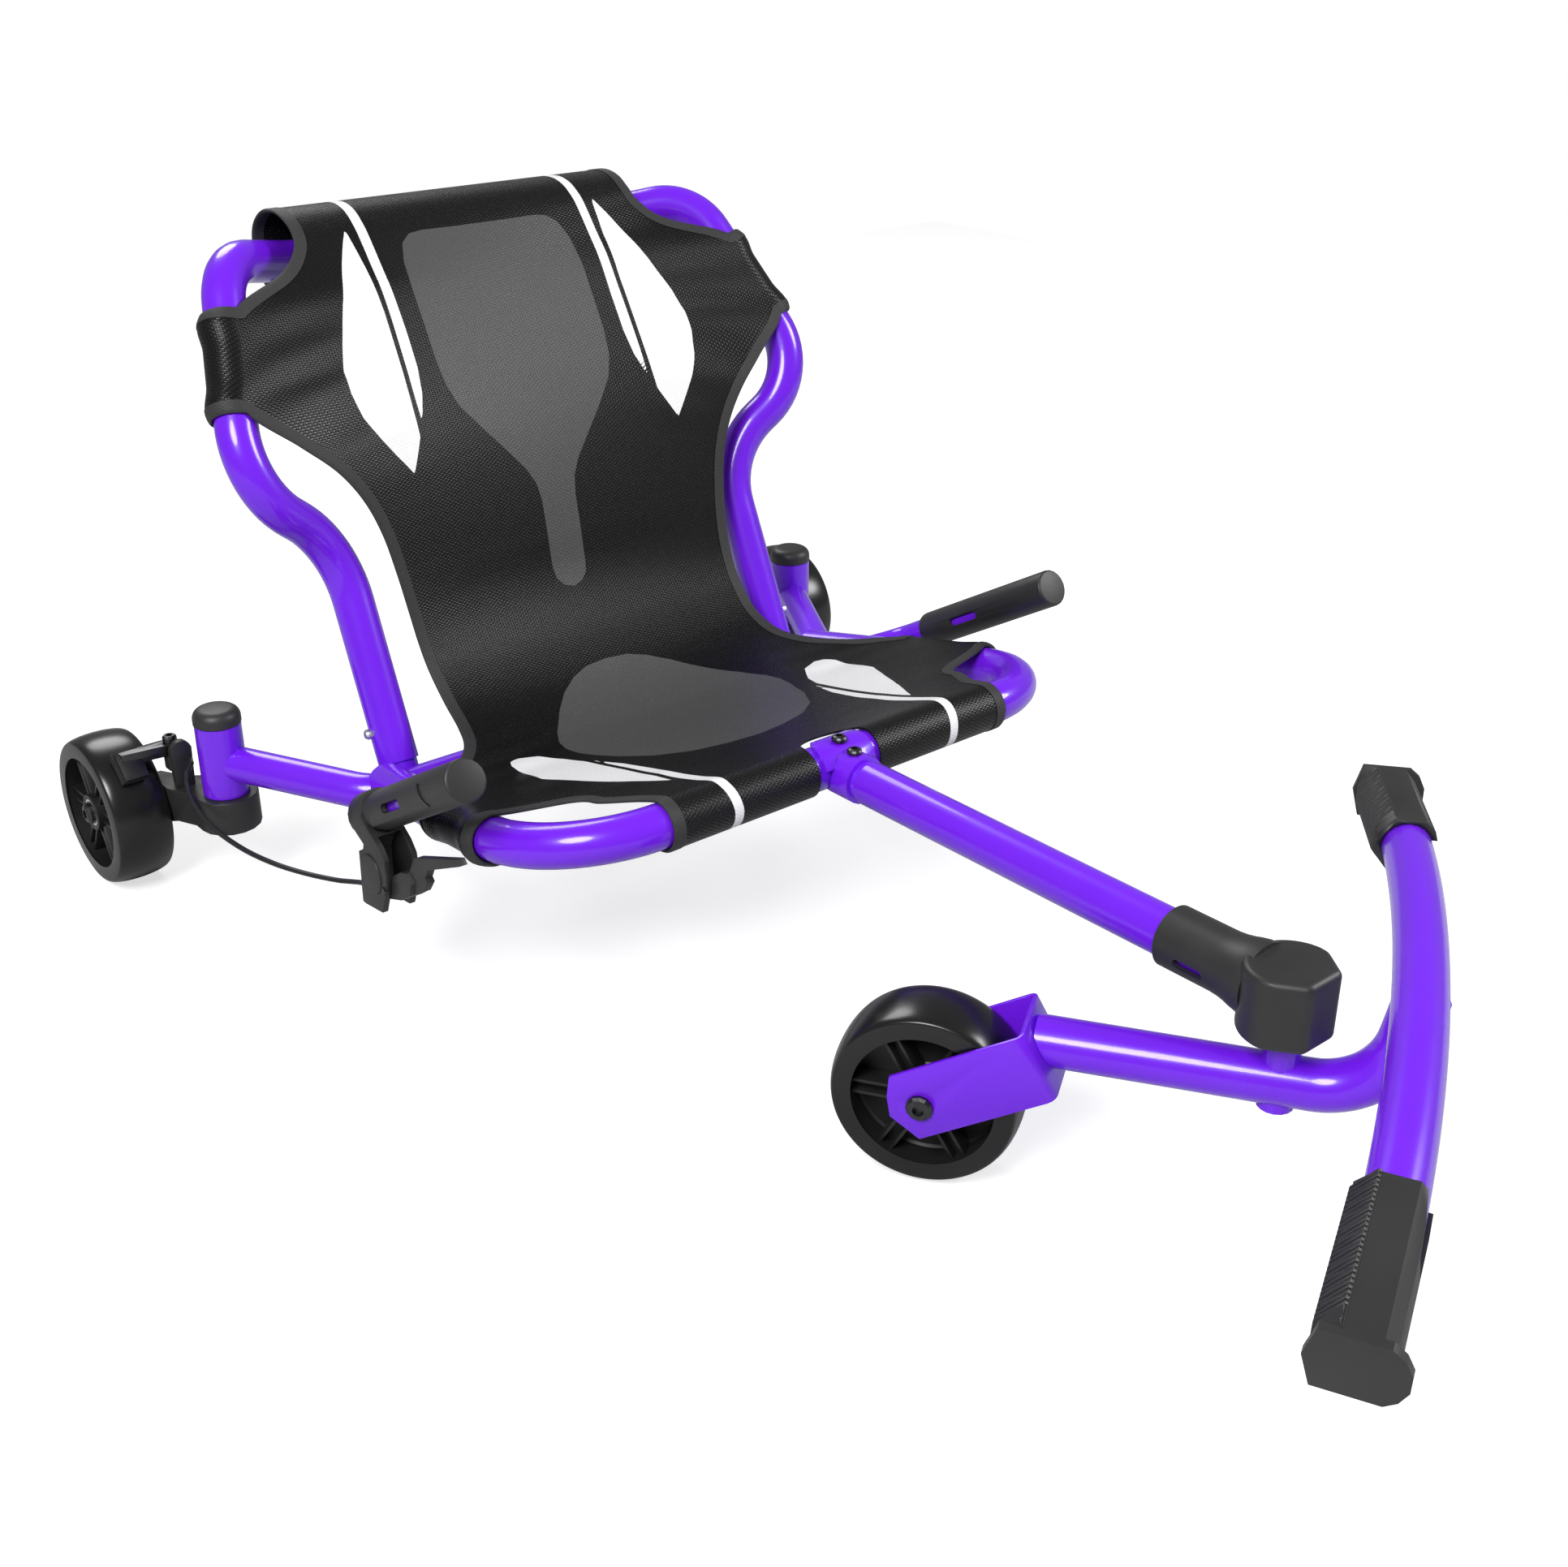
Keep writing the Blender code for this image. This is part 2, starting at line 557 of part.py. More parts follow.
def build_caster(side, label):
    """Head tube's cap and bush, swivelling caster arm, kingpin, axle and wheel on one side."""
    pivot = Vector((side * HEAD_X, HEAD_Y, 0.0))
    head = turned([(HEAD_BORE_RADIUS, HEAD_TOP), (HEAD_BORE_RADIUS, HEAD_BOTTOM),
                   (HEAD_RADIUS, HEAD_BOTTOM), (HEAD_RADIUS, HEAD_TOP)], sides=20)
    add("head_tube_" + label, placed(head, pivot), scooter, VIOLET)
    plug = HEAD_BORE_RADIUS - GAP
    rim_low = HEAD_TOP + GAP
    cap_profile = [
        (0.0, rim_low), (plug - 0.0015, rim_low), (plug - 0.0015, HEAD_TOP - 0.0030), (plug, HEAD_TOP - 0.0030),
        (plug, rim_low), (CAP_RADIUS, rim_low), (CAP_RADIUS, rim_low + 0.0050),
        (CAP_RADIUS * 0.90, rim_low + 0.0095), (CAP_RADIUS * 0.62, rim_low + CAP_HEIGHT), (0.0, rim_low + CAP_HEIGHT),
    ]
    add("head_cap_" + label, placed(turned(cap_profile, sides=16), pivot), scooter, PLASTIC)
    bush_inner = KINGPIN_RADIUS + GAP
    bush_outer = HEAD_BORE_RADIUS - GAP
    bush_top = HEAD_TOP - 0.0030 - GAP - KINGPIN_HEAD_HEIGHT - 2.0 * GAP
    bush = turned([(bush_inner, bush_top), (bush_inner, HEAD_BOTTOM), (bush_outer, HEAD_BOTTOM), (bush_outer, bush_top)])
    add("caster_bush_" + label, placed(bush, pivot), scooter, PLASTIC)

    swivel = empty("caster_axis_" + label, scooter, pivot)
    block_top = HEAD_BOTTOM - GAP
    arm_y = REAR_AXLE_Y - HEAD_Y
    radius = CASTER_BLOCK_RADIUS
    plan = arc((0.0, 0.0), radius, math.pi, 2.0 * math.pi, 8)
    plan += [(radius, 0.012), (CASTER_ARM_OUTER, 0.034), (CASTER_ARM_OUTER, arm_y + 0.020)]
    plan += [(CASTER_ARM_INNER, arm_y + 0.020), (CASTER_ARM_INNER, 0.050), (-0.010, 0.030), (-radius, 0.015)]
    plan = [(side * x, y) for x, y in plan]
    arm = add("caster_arm_" + label, prism(plan, CASTER_BLOCK_BOTTOM - 0.025, block_top), swivel, PLASTIC)
    boss = (arm_y, WHEEL_RADIUS)
    profile = [(-radius - 0.002, CASTER_BLOCK_BOTTOM), (0.028, CASTER_BLOCK_BOTTOM)]
    profile += arc(boss, CASTER_BOSS_RADIUS, math.radians(-118.0), math.radians(75.0), 7)
    profile += [(0.046, block_top + 0.002), (-radius + 0.002, block_top + 0.002), (-radius - 0.002, block_top - 0.002)]
    keep(arm, prism(profile, -0.06, 0.06, "X"))
    seat = CASTER_BLOCK_BOTTOM + KINGPIN_HEAD_HEIGHT + 0.002
    bores = [
        turned([(0.0, CASTER_BLOCK_BOTTOM - 0.01), (KINGPIN_HEAD_RADIUS + GAP, CASTER_BLOCK_BOTTOM - 0.01),
                (KINGPIN_HEAD_RADIUS + GAP, seat), (KINGPIN_RADIUS + GAP, seat),
                (KINGPIN_RADIUS + GAP, block_top + 0.01), (0.0, block_top + 0.01)]),
        rod((side * 0.005, arm_y, WHEEL_RADIUS), (side * 0.045, arm_y, WHEEL_RADIUS), AXLE_RADIUS + GAP),
        prism([(side * 0.0190, 0.040), (side * 0.0295, 0.040), (side * 0.0295, 0.064), (side * 0.0190, 0.064)],
              CASTER_BLOCK_BOTTOM - 0.03, CASTER_BLOCK_BOTTOM + 0.012),
    ]
    cut(arm, merged(bores))
    pin_top = HEAD_TOP - 0.0030 - GAP
    pin = turned([(0.0, seat - GAP - KINGPIN_HEAD_HEIGHT), (KINGPIN_HEAD_RADIUS, seat - GAP - KINGPIN_HEAD_HEIGHT),
                  (KINGPIN_HEAD_RADIUS, seat - GAP), (KINGPIN_RADIUS, seat - GAP), (KINGPIN_RADIUS, bush_top + GAP),
                  (KINGPIN_HEAD_RADIUS, bush_top + GAP), (KINGPIN_HEAD_RADIUS, pin_top), (0.0, pin_top)])
    add("caster_kingpin_" + label, pin, swivel, STEEL)
    centre = Vector((side * (REAR_TRACK / 2.0 - HEAD_X), arm_y, WHEEL_RADIUS))
    wheel("rear_wheel_" + label, swivel, side, centre)
    inner_end = centre.x - side * (CASTER_ARM_INNER - 0.002)
    axle_bolt("rear_axle_" + label, swivel, centre, side, HUB_WIDTH / 2.0 + GAP,
              HUB_WIDTH / 2.0 + GAP + abs(inner_end))
    return swivel, centre


def build_rear_beam():
    """Bent cross tube between the head tubes, with a stub for each foot of the seat back."""
    head = Vector((HEAD_X, HEAD_Y, BEAM_Z))
    knee = Vector((BEAM_KNEE_X, BEAM_Y, BEAM_MIDDLE_Z))
    corners = [head, knee] + across([head, knee])
    path = bent(corners, (BEAM_BEND_RADIUS, BEAM_BEND_RADIUS), 4)
    up = Vector((0.0, 0.0, 1.0))
    left_cut = to_tube(head, up, HEAD_RADIUS - COPE_DEPTH)
    right_cut = to_tube(across([head])[0], up, HEAD_RADIUS - COPE_DEPTH)
    beam_radius = STUB_RADIUS
    bore = beam_radius - TUBE_WALL
    beam = add("rear_beam", swept(path, beam_radius, bore, SIDES, left_cut, right_cut), scooter, VIOLET)
    lean = (BACK_WAIST - BACK_FOOT).normalized()
    stubs = []
    for side in (-1.0, 1.0):
        foot = Vector((side * BACK_FOOT.x, BACK_FOOT.y, BACK_FOOT.z))
        along = Vector((side * lean.x, lean.y, lean.z))
        stubs.append(rod(foot - along * 0.010, foot + along * STUB_TOP_REACH, STUB_RADIUS))
    join(beam, merged(stubs))
    holes = []
    for side in (-1.0, 1.0):
        foot, along, outward = button_frame(side)
        centre = foot + along * BUTTON_HEIGHT
        holes.append(rod(centre + outward * (STUB_RADIUS - BUTTON_DEPTH - GAP), centre + outward * 0.03,
                         BUTTON_RADIUS + GAP, SMALL_SIDES))
    around = HEAD_RADIUS + GAP
    for side in (-1.0, 1.0):
        tube_space = turned([(0.0, HEAD_BOTTOM), (around, HEAD_BOTTOM), (around, HEAD_TOP), (0.0, HEAD_TOP)], sides=20)
        holes.append(placed(tube_space, Vector((side * HEAD_X, HEAD_Y, 0.0))))
    cut(beam, merged(holes))
    return path


def button_frame(side):
    """Foot, tube direction and outward direction where a snap button sits."""
    foot = Vector((side * BACK_FOOT.x, BACK_FOOT.y, BACK_FOOT.z))
    waist = Vector((side * BACK_WAIST.x, BACK_WAIST.y, BACK_WAIST.z))
    along = (waist - foot).normalized()
    outward = Vector((side, 0.0, 0.0))
    outward = (outward - along * outward.dot(along)).normalized()
    return foot, along, outward


def build_seat_base(beam_path):
    """U-shaped seat base tube, welded to the front of the rear beam."""
    front = Vector((BASE_HALF_WIDTH, BASE_Y, BASE_Z))
    rear = Vector((BASE_REAR_HALF_WIDTH, BASE_REAR_Y, BASE_Z + BASE_SLOPE * (BASE_REAR_Y - BASE_Y)))
    corners = [rear, front] + across([rear, front])
    path = bent(corners, (BASE_BEND_RADIUS, BASE_BEND_RADIUS), 6)
    base = add("seat_base_loop", swept(path, TUBE_RADIUS, TUBE_RADIUS - TUBE_WALL), scooter, VIOLET)
    cut(base, swept(beam_path, STUB_RADIUS + GAP))
    return path


def build_seat_back():
    """Seat-back tube: one tube bent eight times, slipped over the stubs."""
    side = [BACK_FOOT, BACK_WAIST, BACK_ELBOW, BACK_SHOULDER, BACK_CORNER]
    radii = BACK_BEND_RADII + tuple(reversed(BACK_BEND_RADII))
    path = bent(side + across(side), radii, 3)
    back = add("seat_back_tube", swept(path, TUBE_RADIUS, TUBE_RADIUS - TUBE_WALL), scooter, VIOLET)
    holes = []
    for sign in (-1.0, 1.0):
        foot, along, outward = button_frame(sign)
        centre = foot + along * BUTTON_HEIGHT
        holes.append(rod(centre + outward * 0.010, centre + outward * 0.030, BUTTON_RADIUS + GAP, SMALL_SIDES))
    cut(back, merged(holes))
    for sign, label in ((1.0, "left"), (-1.0, "right")):
        foot, along, outward = button_frame(sign)
        frame = Matrix((outward.cross(along), along, outward)).transposed().to_4x4()
        frame.translation = foot + along * BUTTON_HEIGHT + outward * STUB_RADIUS
        carrier = empty("snap_button_axis_" + label, scooter, matrix=frame)
        profile = [
            (0.0, -BUTTON_DEPTH + 0.0045), (BUTTON_RADIUS, -BUTTON_DEPTH + 0.0045),
            (BUTTON_RADIUS, BUTTON_REACH - 0.0020), (BUTTON_RADIUS * 0.7, BUTTON_REACH - 0.0006), (0.0, BUTTON_REACH),
        ]
        add("snap_button_" + label, turned(profile, sides=SMALL_SIDES), carrier, STEEL)


def build_boom():
    """Saddle clamped on the seat base, its two bolts, the boom and the pivot head with its bushes."""
    shell = TUBE_RADIUS + SADDLE_SHELL
    half = SADDLE_HALF_WIDTH
    saddle = add("boom_saddle", rod((-half, BASE_Y, BASE_Z), (half, BASE_Y, BASE_Z), shell, 24), scooter, VIOLET)
    flap = arc((0.0, BASE_Y - 0.008), half - 0.001, 0.0, math.pi, 8) + [(-half + 0.001, BASE_Y - 0.046), (half - 0.001, BASE_Y - 0.046)]
    keep(saddle, prism(flap, BASE_Z + 0.0050, BASE_Z + 0.040))
    join(saddle, turned_along_y([(0.0, SADDLE_FRONT_Y), (SADDLE_RADIUS, SADDLE_FRONT_Y),
                                 (SADDLE_RADIUS, BASE_Y - 0.006), (0.0, BASE_Y - 0.006)], BOOM_Z, 20))
    spigot = TUBE_RADIUS - TUBE_WALL - GAP
    join(saddle, turned_along_y([(0.0, SADDLE_FRONT_Y - SADDLE_SPIGOT_LENGTH), (spigot, SADDLE_FRONT_Y - SADDLE_SPIGOT_LENGTH),
                                 (spigot, SADDLE_FRONT_Y + 0.004), (0.0, SADDLE_FRONT_Y + 0.004)], BOOM_Z, SIDES))
    clamp = rod((-0.05, BASE_Y, BASE_Z), (0.05, BASE_Y, BASE_Z), TUBE_RADIUS + GAP + 0.0002, 24)
    cut(saddle, clamp)
    front_top = BOOM_Z + SADDLE_RADIUS
    rear_top = BASE_Z + shell
    bolts = (("front", SADDLE_BOLT_FRONT_Y, front_top, 0.0090), ("rear", SADDLE_BOLT_REAR_Y, rear_top, 0.0022))
    for label, y, top, depth in bolts:
        shape = socket_bolt(SADDLE_BOLT_RADIUS, 0.0034, 0.0030, depth, 0.0022)
        add("saddle_bolt_" + label, placed(shape, Vector((0.0, y, top + GAP))), scooter, DARK_STEEL)
    cut(saddle, merged([rod((0.0, y, top - 0.0100), (0.0, y, top + 0.010), 0.0030 + GAP, SMALL_SIDES)
                        for label, y, top, depth in bolts]))

    boom = turned_along_y([(TUBE_RADIUS, BOOM_FRONT_Y), (TUBE_RADIUS, BOOM_REAR_Y),
                           (TUBE_RADIUS - TUBE_WALL, BOOM_REAR_Y), (TUBE_RADIUS - TUBE_WALL, BOOM_FRONT_Y)], BOOM_Z, 20)
    add("boom_tube", boom, scooter, VIOLET)

    wide = PIVOT_HEAD_HALF_WIDTH
    nose = PIVOT_HEAD_NOSE_HALF_WIDTH
    outline = [(-wide, -0.0045), (-nose, -PIVOT_HEAD_NOSE), (nose, -PIVOT_HEAD_NOSE), (wide, -0.0045)]
    outline += arc((0.0, 0.0), PIVOT_HEAD_REAR_RADIUS, math.radians(3.0), math.radians(177.0), 12)
    head = add("pivot_head", prism(outline, PIVOT_HEAD_BOTTOM, PIVOT_HEAD_TOP), scooter, PLASTIC, 30.0)
    sleeve = turned_along_y([(0.0, 0.005), (0.0215, 0.005), (0.0215, 0.026), (0.0204, 0.033), (PIVOT_SLEEVE_RADIUS, 0.042),
                             (PIVOT_SLEEVE_RADIUS, PIVOT_SLEEVE_END), (0.0, PIVOT_SLEEVE_END)], BOOM_Z, 20)
    flat = box((-0.05, -0.05, PIVOT_HEAD_BOTTOM), (0.05, 0.12, PIVOT_HEAD_TOP))
    join(head, sleeve)
    keep(head, flat)
    bore = KINGPIN_RADIUS + BUSH_WALL + 3.0 * GAP
    chamber = PIVOT_HEAD_TOP - 0.005
    slot = slot_outline((PIVOT_SLOT_Y, BOOM_Z - 0.004), PIVOT_SLOT_LENGTH, PIVOT_SLOT_WIDTH)
    cut(head, merged([
        rod((0.0, 0.0, PIVOT_HEAD_BOTTOM - 0.01), (0.0, 0.0, chamber), bore, 20),
        turned_along_y([(0.0, BOOM_FRONT_Y - GAP), (TUBE_RADIUS + GAP + 0.0002, BOOM_FRONT_Y - GAP),
                        (TUBE_RADIUS + GAP + 0.0002, PIVOT_SLEEVE_END + 0.01), (0.0, PIVOT_SLEEVE_END + 0.01)], BOOM_Z, 20),
    ]))
    cut(head, prism(slot, -0.040, -0.005, "X"))
    outer = bore - GAP
    inner = KINGPIN_RADIUS + GAP
    for label, low in (("lower", PIVOT_HEAD_BOTTOM), ("upper", chamber - 0.0050 - BUSH_LENGTH)):
        bush = turned([(inner, low + BUSH_LENGTH), (inner, low), (outer, low), (outer, low + BUSH_LENGTH)])
        add("steering_bush_" + label, bush, scooter, PLASTIC)
    pin_foot = PIVOT_HEAD_BOTTOM - GAP
    washer_low = chamber - 0.0050 + GAP
    washer_high = chamber - GAP
    pin = turned([(0.0, STEERING_PIN_BOTTOM), (STEERING_PIN_RADIUS, STEERING_PIN_BOTTOM), (STEERING_PIN_RADIUS, pin_foot),
                  (KINGPIN_RADIUS, pin_foot), (KINGPIN_RADIUS, washer_low), (0.0125, washer_low),
                  (0.0125, washer_high), (0.0, washer_high)])
    add("steering_kingpin", pin, steered, VIOLET)


def turned_along_y(profile, height, sides):
    """Solid of revolution about a level axis that runs to the rear at a height."""
    return placed(turned(profile, "Y", sides), Vector((0.0, 0.0, height)))


def foot_bar_point(along):
    """Centre of the foot bar at a distance to the side; the bar is one long arc that leans back."""
    sag = FOOT_BAR_RADIUS - math.sqrt(FOOT_BAR_RADIUS ** 2 - along ** 2)
    return Vector((along, FOOT_BAR_Y + sag * math.cos(FOOT_BAR_TILT), FOOT_BAR_Z - sag * math.sin(FOOT_BAR_TILT)))


def build_front():
    """Steered front: bent tube, fork, wheel, foot bar and pegs."""
    fork = Matrix.Translation((0.0, TRAIL, WHEEL_RADIUS)) @ Matrix.Rotation(math.pi - FORK_RAKE, 4, "X")
    # In the fork's own frame +Y runs forward and up from the axle and -Z is its upper side.
    inside = FORK_INSIDE
    outside = FORK_INSIDE + FORK_PLATE
    corner = FORK_CORNER_RADIUS
    reach = FORK_REACH + FORK_PLATE
    plan = [(outside, -0.030)] + arc((outside - corner, reach - corner), corner, 0.0, math.pi / 2.0, 3)
    plan += arc((corner - outside, reach - corner), corner, math.pi / 2.0, math.pi, 3) + [(-outside, -0.030)]
    small = corner - FORK_PLATE
    plan += [(-inside, -0.030)] + arc((small - inside, FORK_REACH - small), small, math.pi, math.pi / 2.0, 3)
    plan += arc((inside - small, FORK_REACH - small), small, math.pi / 2.0, 0.0, 3) + [(inside, -0.030)]
    bracket = add("fork_bracket", placed(prism(plan, -FORK_HIGH, -FORK_LOW), fork), steered, VIOLET, 30.0)
    ears = [(0.100, -FORK_HIGH - 0.001), (-0.0080, -FORK_HIGH - 0.001), (-0.0165, -0.0130), (-0.0214, 0.0005),
            (-0.0105, -FORK_LOW + 0.001), (0.100, -FORK_LOW + 0.001)]
    keep(bracket, placed(prism(ears, -0.05, 0.05, "X"), fork))
    cut(bracket, rod((-0.05, TRAIL, WHEEL_RADIUS), (0.05, TRAIL, WHEEL_RADIUS), AXLE_RADIUS + GAP, SMALL_SIDES))

    web_normal = fork.to_3x3() @ Vector((0.0, 1.0, 0.0))
    web_face = fork @ Vector((0.0, reach + GAP, 0.0))
    bend = FRONT_TUBE_BEND_ANGLE
    height = FRONT_TUBE_Z
    tube_path = [Vector((0.0, 0.140, height))]
    for step in range(7):
        angle = bend * step / 6
        tube_path.append(Vector((0.0, FRONT_TUBE_BEND_START - FRONT_TUBE_BEND_RADIUS * math.sin(angle),
                                 height + FRONT_TUBE_BEND_RADIUS * (1.0 - math.cos(angle)))))
    rise = Vector((0.0, -math.cos(bend), math.sin(bend)))
    last = tube_path[-1]
    tube_path.append(last + rise * ((FOOT_BAR_Z - last.z) / rise.z))
    middle = foot_bar_point(0.0)
    shape = swept(tube_path, TUBE_RADIUS, TUBE_RADIUS - TUBE_WALL, SIDES, to_plane(web_face, web_normal),
                  to_tube(middle, Vector((1.0, 0.0, 0.0)), TUBE_RADIUS - COPE_DEPTH))
    tube = add("front_tube", shape, steered, VIOLET)
    cut(tube, rod((0.0, 0.0, height - 0.03), (0.0, 0.0, height + 0.03), STEERING_PIN_RADIUS + GAP, SIDES))

    stations = 8
    bar_path = [foot_bar_point(FOOT_BAR_HALF_LENGTH * (2.0 * step / stations - 1.0)) for step in range(stations + 1)]
    add("foot_bar", swept(bar_path, TUBE_RADIUS, TUBE_RADIUS - TUBE_WALL), steered, VIOLET)
    cut(tube, swept(bar_path, TUBE_RADIUS + GAP))
    for side, label in ((1.0, "left"), (-1.0, "right")):
        build_peg(side, label, bar_path)

    centre = Vector((0.0, TRAIL, WHEEL_RADIUS))
    wheel("front_wheel", steered, -1.0, centre)
    face = outside + GAP
    axle_bolt("front_axle", steered, centre, -1.0, face, face + outside + 0.0075)
    nut_outline = arc((0.0, 0.0), 0.0075, 0.0, 2.0 * math.pi, 6)[:-1]
    nut = add("front_axle_nut", placed(prism(nut_outline, face, face + 0.0060, "X"), centre), steered, STEEL, 30.0)
    cut(nut, rod((0.02, TRAIL, WHEEL_RADIUS), (0.05, TRAIL, WHEEL_RADIUS), AXLE_RADIUS + GAP, SMALL_SIDES))


def build_peg(side, label, bar_path):
    """Foot peg moulded over one end of the foot bar, with a ribbed tread and an end plate.

    Both pegs are the same moulding: the right one is the left one turned upside down.
    """
    root = foot_bar_point(side * PEG_ROOT)
    outer = foot_bar_point(side * PEG_PLATE_AT)
    along = (outer - root).normalized()
    back = Vector((0.0, 1.0, 0.0))
    back = (back - along * back.dot(along)).normalized()
    frame = Matrix((along, back, along.cross(back))).transposed().to_4x4()
    frame.translation = root
    length = (outer - root).length
    high = PEG_HALF_HEIGHT
    face = PEG_TREAD_FACE
    half_section = [(0.0085, high), (-0.0100, high), (-0.0158, 0.0118), (-PEG_FRONT, 0.0040)]
    section = half_section + [(y, -z) for y, z in reversed(half_section)]
    section += [(face, -0.0060), (face, 0.0060)]
    peg = add("foot_peg_" + label, placed(prism(section, -PEG_LONG_REACH, length + 0.001, "X"), frame),
              steered, PLASTIC, 30.0)
    half_plate = [(0.0175, high), (-0.0140, high), (-0.0200, 0.0130), (-0.0240, 0.0050)]
    plate = half_plate + [(y, -z) for y, z in reversed(half_plate)] + [(0.0225, 0.0)]
    join(peg, placed(prism(plate, length, length + PEG_PLATE, "X"), frame))
    slant = math.atan2(high - 0.0060, face - 0.0085)
    width = math.hypot(high - 0.0060, face - 0.0085)
    start = -PEG_LONG_REACH + 0.003
    pitch = (length - start) / PEG_TREAD_RIDGES
    teeth = [(length - 0.0005, -0.003), (start, -0.003)]
    for ridge in range(PEG_TREAD_RIDGES):
        place = start + pitch * ridge
        teeth += [(place + pitch * 0.10, 0.0002), (place + pitch * 0.55, PEG_TREAD_DEPTH)]
    teeth += [(length - 0.0005, 0.0002)]
    for flip in (1.0, -1.0):
        band = prism(teeth, 0.0006, width - 0.0002)
        lean = Matrix.Rotation(flip * (math.pi / 2.0 - slant), 4, "X") @ Matrix.Rotation(math.pi * (1.0 - flip) / 2.0, 4, "X")
        if flip < 0.0:
            band = placed(band, Matrix.Scale(-1.0, 4, (0.0, 1.0, 0.0)))
        join(peg, placed(band, frame @ Matrix.Translation((0.0, face, flip * 0.0060)) @ lean))
    first = bar_path[0] + (bar_path[0] - bar_path[1]).normalized() * GAP
    last = bar_path[-1] + (bar_path[-1] - bar_path[-2]).normalized() * GAP
    cut(peg, swept([first, *bar_path[1:-1], last], TUBE_RADIUS + GAP))
    mouth = [(-0.070, 0.0105), (-0.045, 0.0095), (0.000, 0.0050), (0.040, 0.0020), (0.047, -0.0040), (0.040, -0.0100),
             (0.000, -0.0140), (0.000, -0.030), (-0.070, -0.030)]
    cut(peg, placed(prism(mouth, -0.030, -0.003, "Y"), frame))
    tongue_side = [(-0.070, 0.0010), (0.0, 0.0010), (0.0, -0.030), (-0.070, -0.030)]
    cut(peg, placed(prism(tongue_side, -0.0031, 0.030, "Y"), frame))


def handle_frame(side):
    """Frame at the grip's end: +Y runs back along the handle, +Z is its upper side and +X is sideways."""
    forward = Vector((side * HANDLE_SPLAY, -1.0, 0.0))
    forward = Vector((forward.x, forward.y * math.sqrt(1.0 - HANDLE_RISE ** 2), HANDLE_RISE)).normalized()
    sideways = Vector((-forward.y, forward.x, 0.0)).normalized()
    up = sideways.cross(-forward)
    frame = Matrix((sideways, -forward, up)).transposed().to_4x4()
    frame.translation = Vector((side * GRIP_END.x, GRIP_END.y, GRIP_END.z))
    return frame


def base_rail(side):
    """A point on one side rail of the seat base, and the way to the rail's rear end."""
    start = Vector((side * BASE_HALF_WIDTH, BASE_Y, BASE_Z))
    length = BASE_REAR_Y - BASE_Y
    return start, Vector((side * (BASE_REAR_HALF_WIDTH - BASE_HALF_WIDTH), length, BASE_SLOPE * length))


def build_handle(side, label, base_path):
    """Handle tube welded to the side of the seat base, and its grip."""
    frame = handle_frame(side)
    on_rail, rail = base_rail(side)
    root = on_rail + rail * ((HANDLE_ROOT_Y - on_rail.y) / rail.y)
    knee = frame @ Vector((0.0, HANDLE_LENGTH, 0.0))
    end = frame @ Vector((0.0, GRIP_CAP + 0.0020, 0.0))
    path = bent([root, knee, end], (HANDLE_BEND_RADIUS,), 5)
    shape = swept(path, HANDLE_RADIUS, HANDLE_RADIUS - HANDLE_WALL, SMALL_SIDES,
                  to_tube(on_rail, rail.normalized(), TUBE_RADIUS - COPE_DEPTH))
    handle = add("handle_tube_" + label, shape, scooter, VIOLET)
    cut(handle, swept(base_path, TUBE_RADIUS + GAP))

    start = GRIP_LENGTH
    bore = HANDLE_RADIUS + GAP
    cup = GRIP_CAP + 0.0020 - GAP
    profile = [(0.0, 0.0), (GRIP_RADIUS - 0.0012, 0.0), (GRIP_RADIUS, 0.0012), (GRIP_RADIUS, start - 0.0010),
               (GRIP_RADIUS - 0.0010, start), (bore, start), (bore, cup), (0.0, cup)]
    grip = add("grip_" + label, placed(turned(profile, "Y", 20), frame), scooter, PLASTIC)
    # Both grips are the same moulding, with the window on the rider's right.
    window_outline = slot_outline((GRIP_WINDOW_FROM_END, 0.0), GRIP_WINDOW_LENGTH, GRIP_WINDOW_HEIGHT)
    window = prism(window_outline, -0.020, -0.004, "X")
    cut(grip, placed(window, frame))


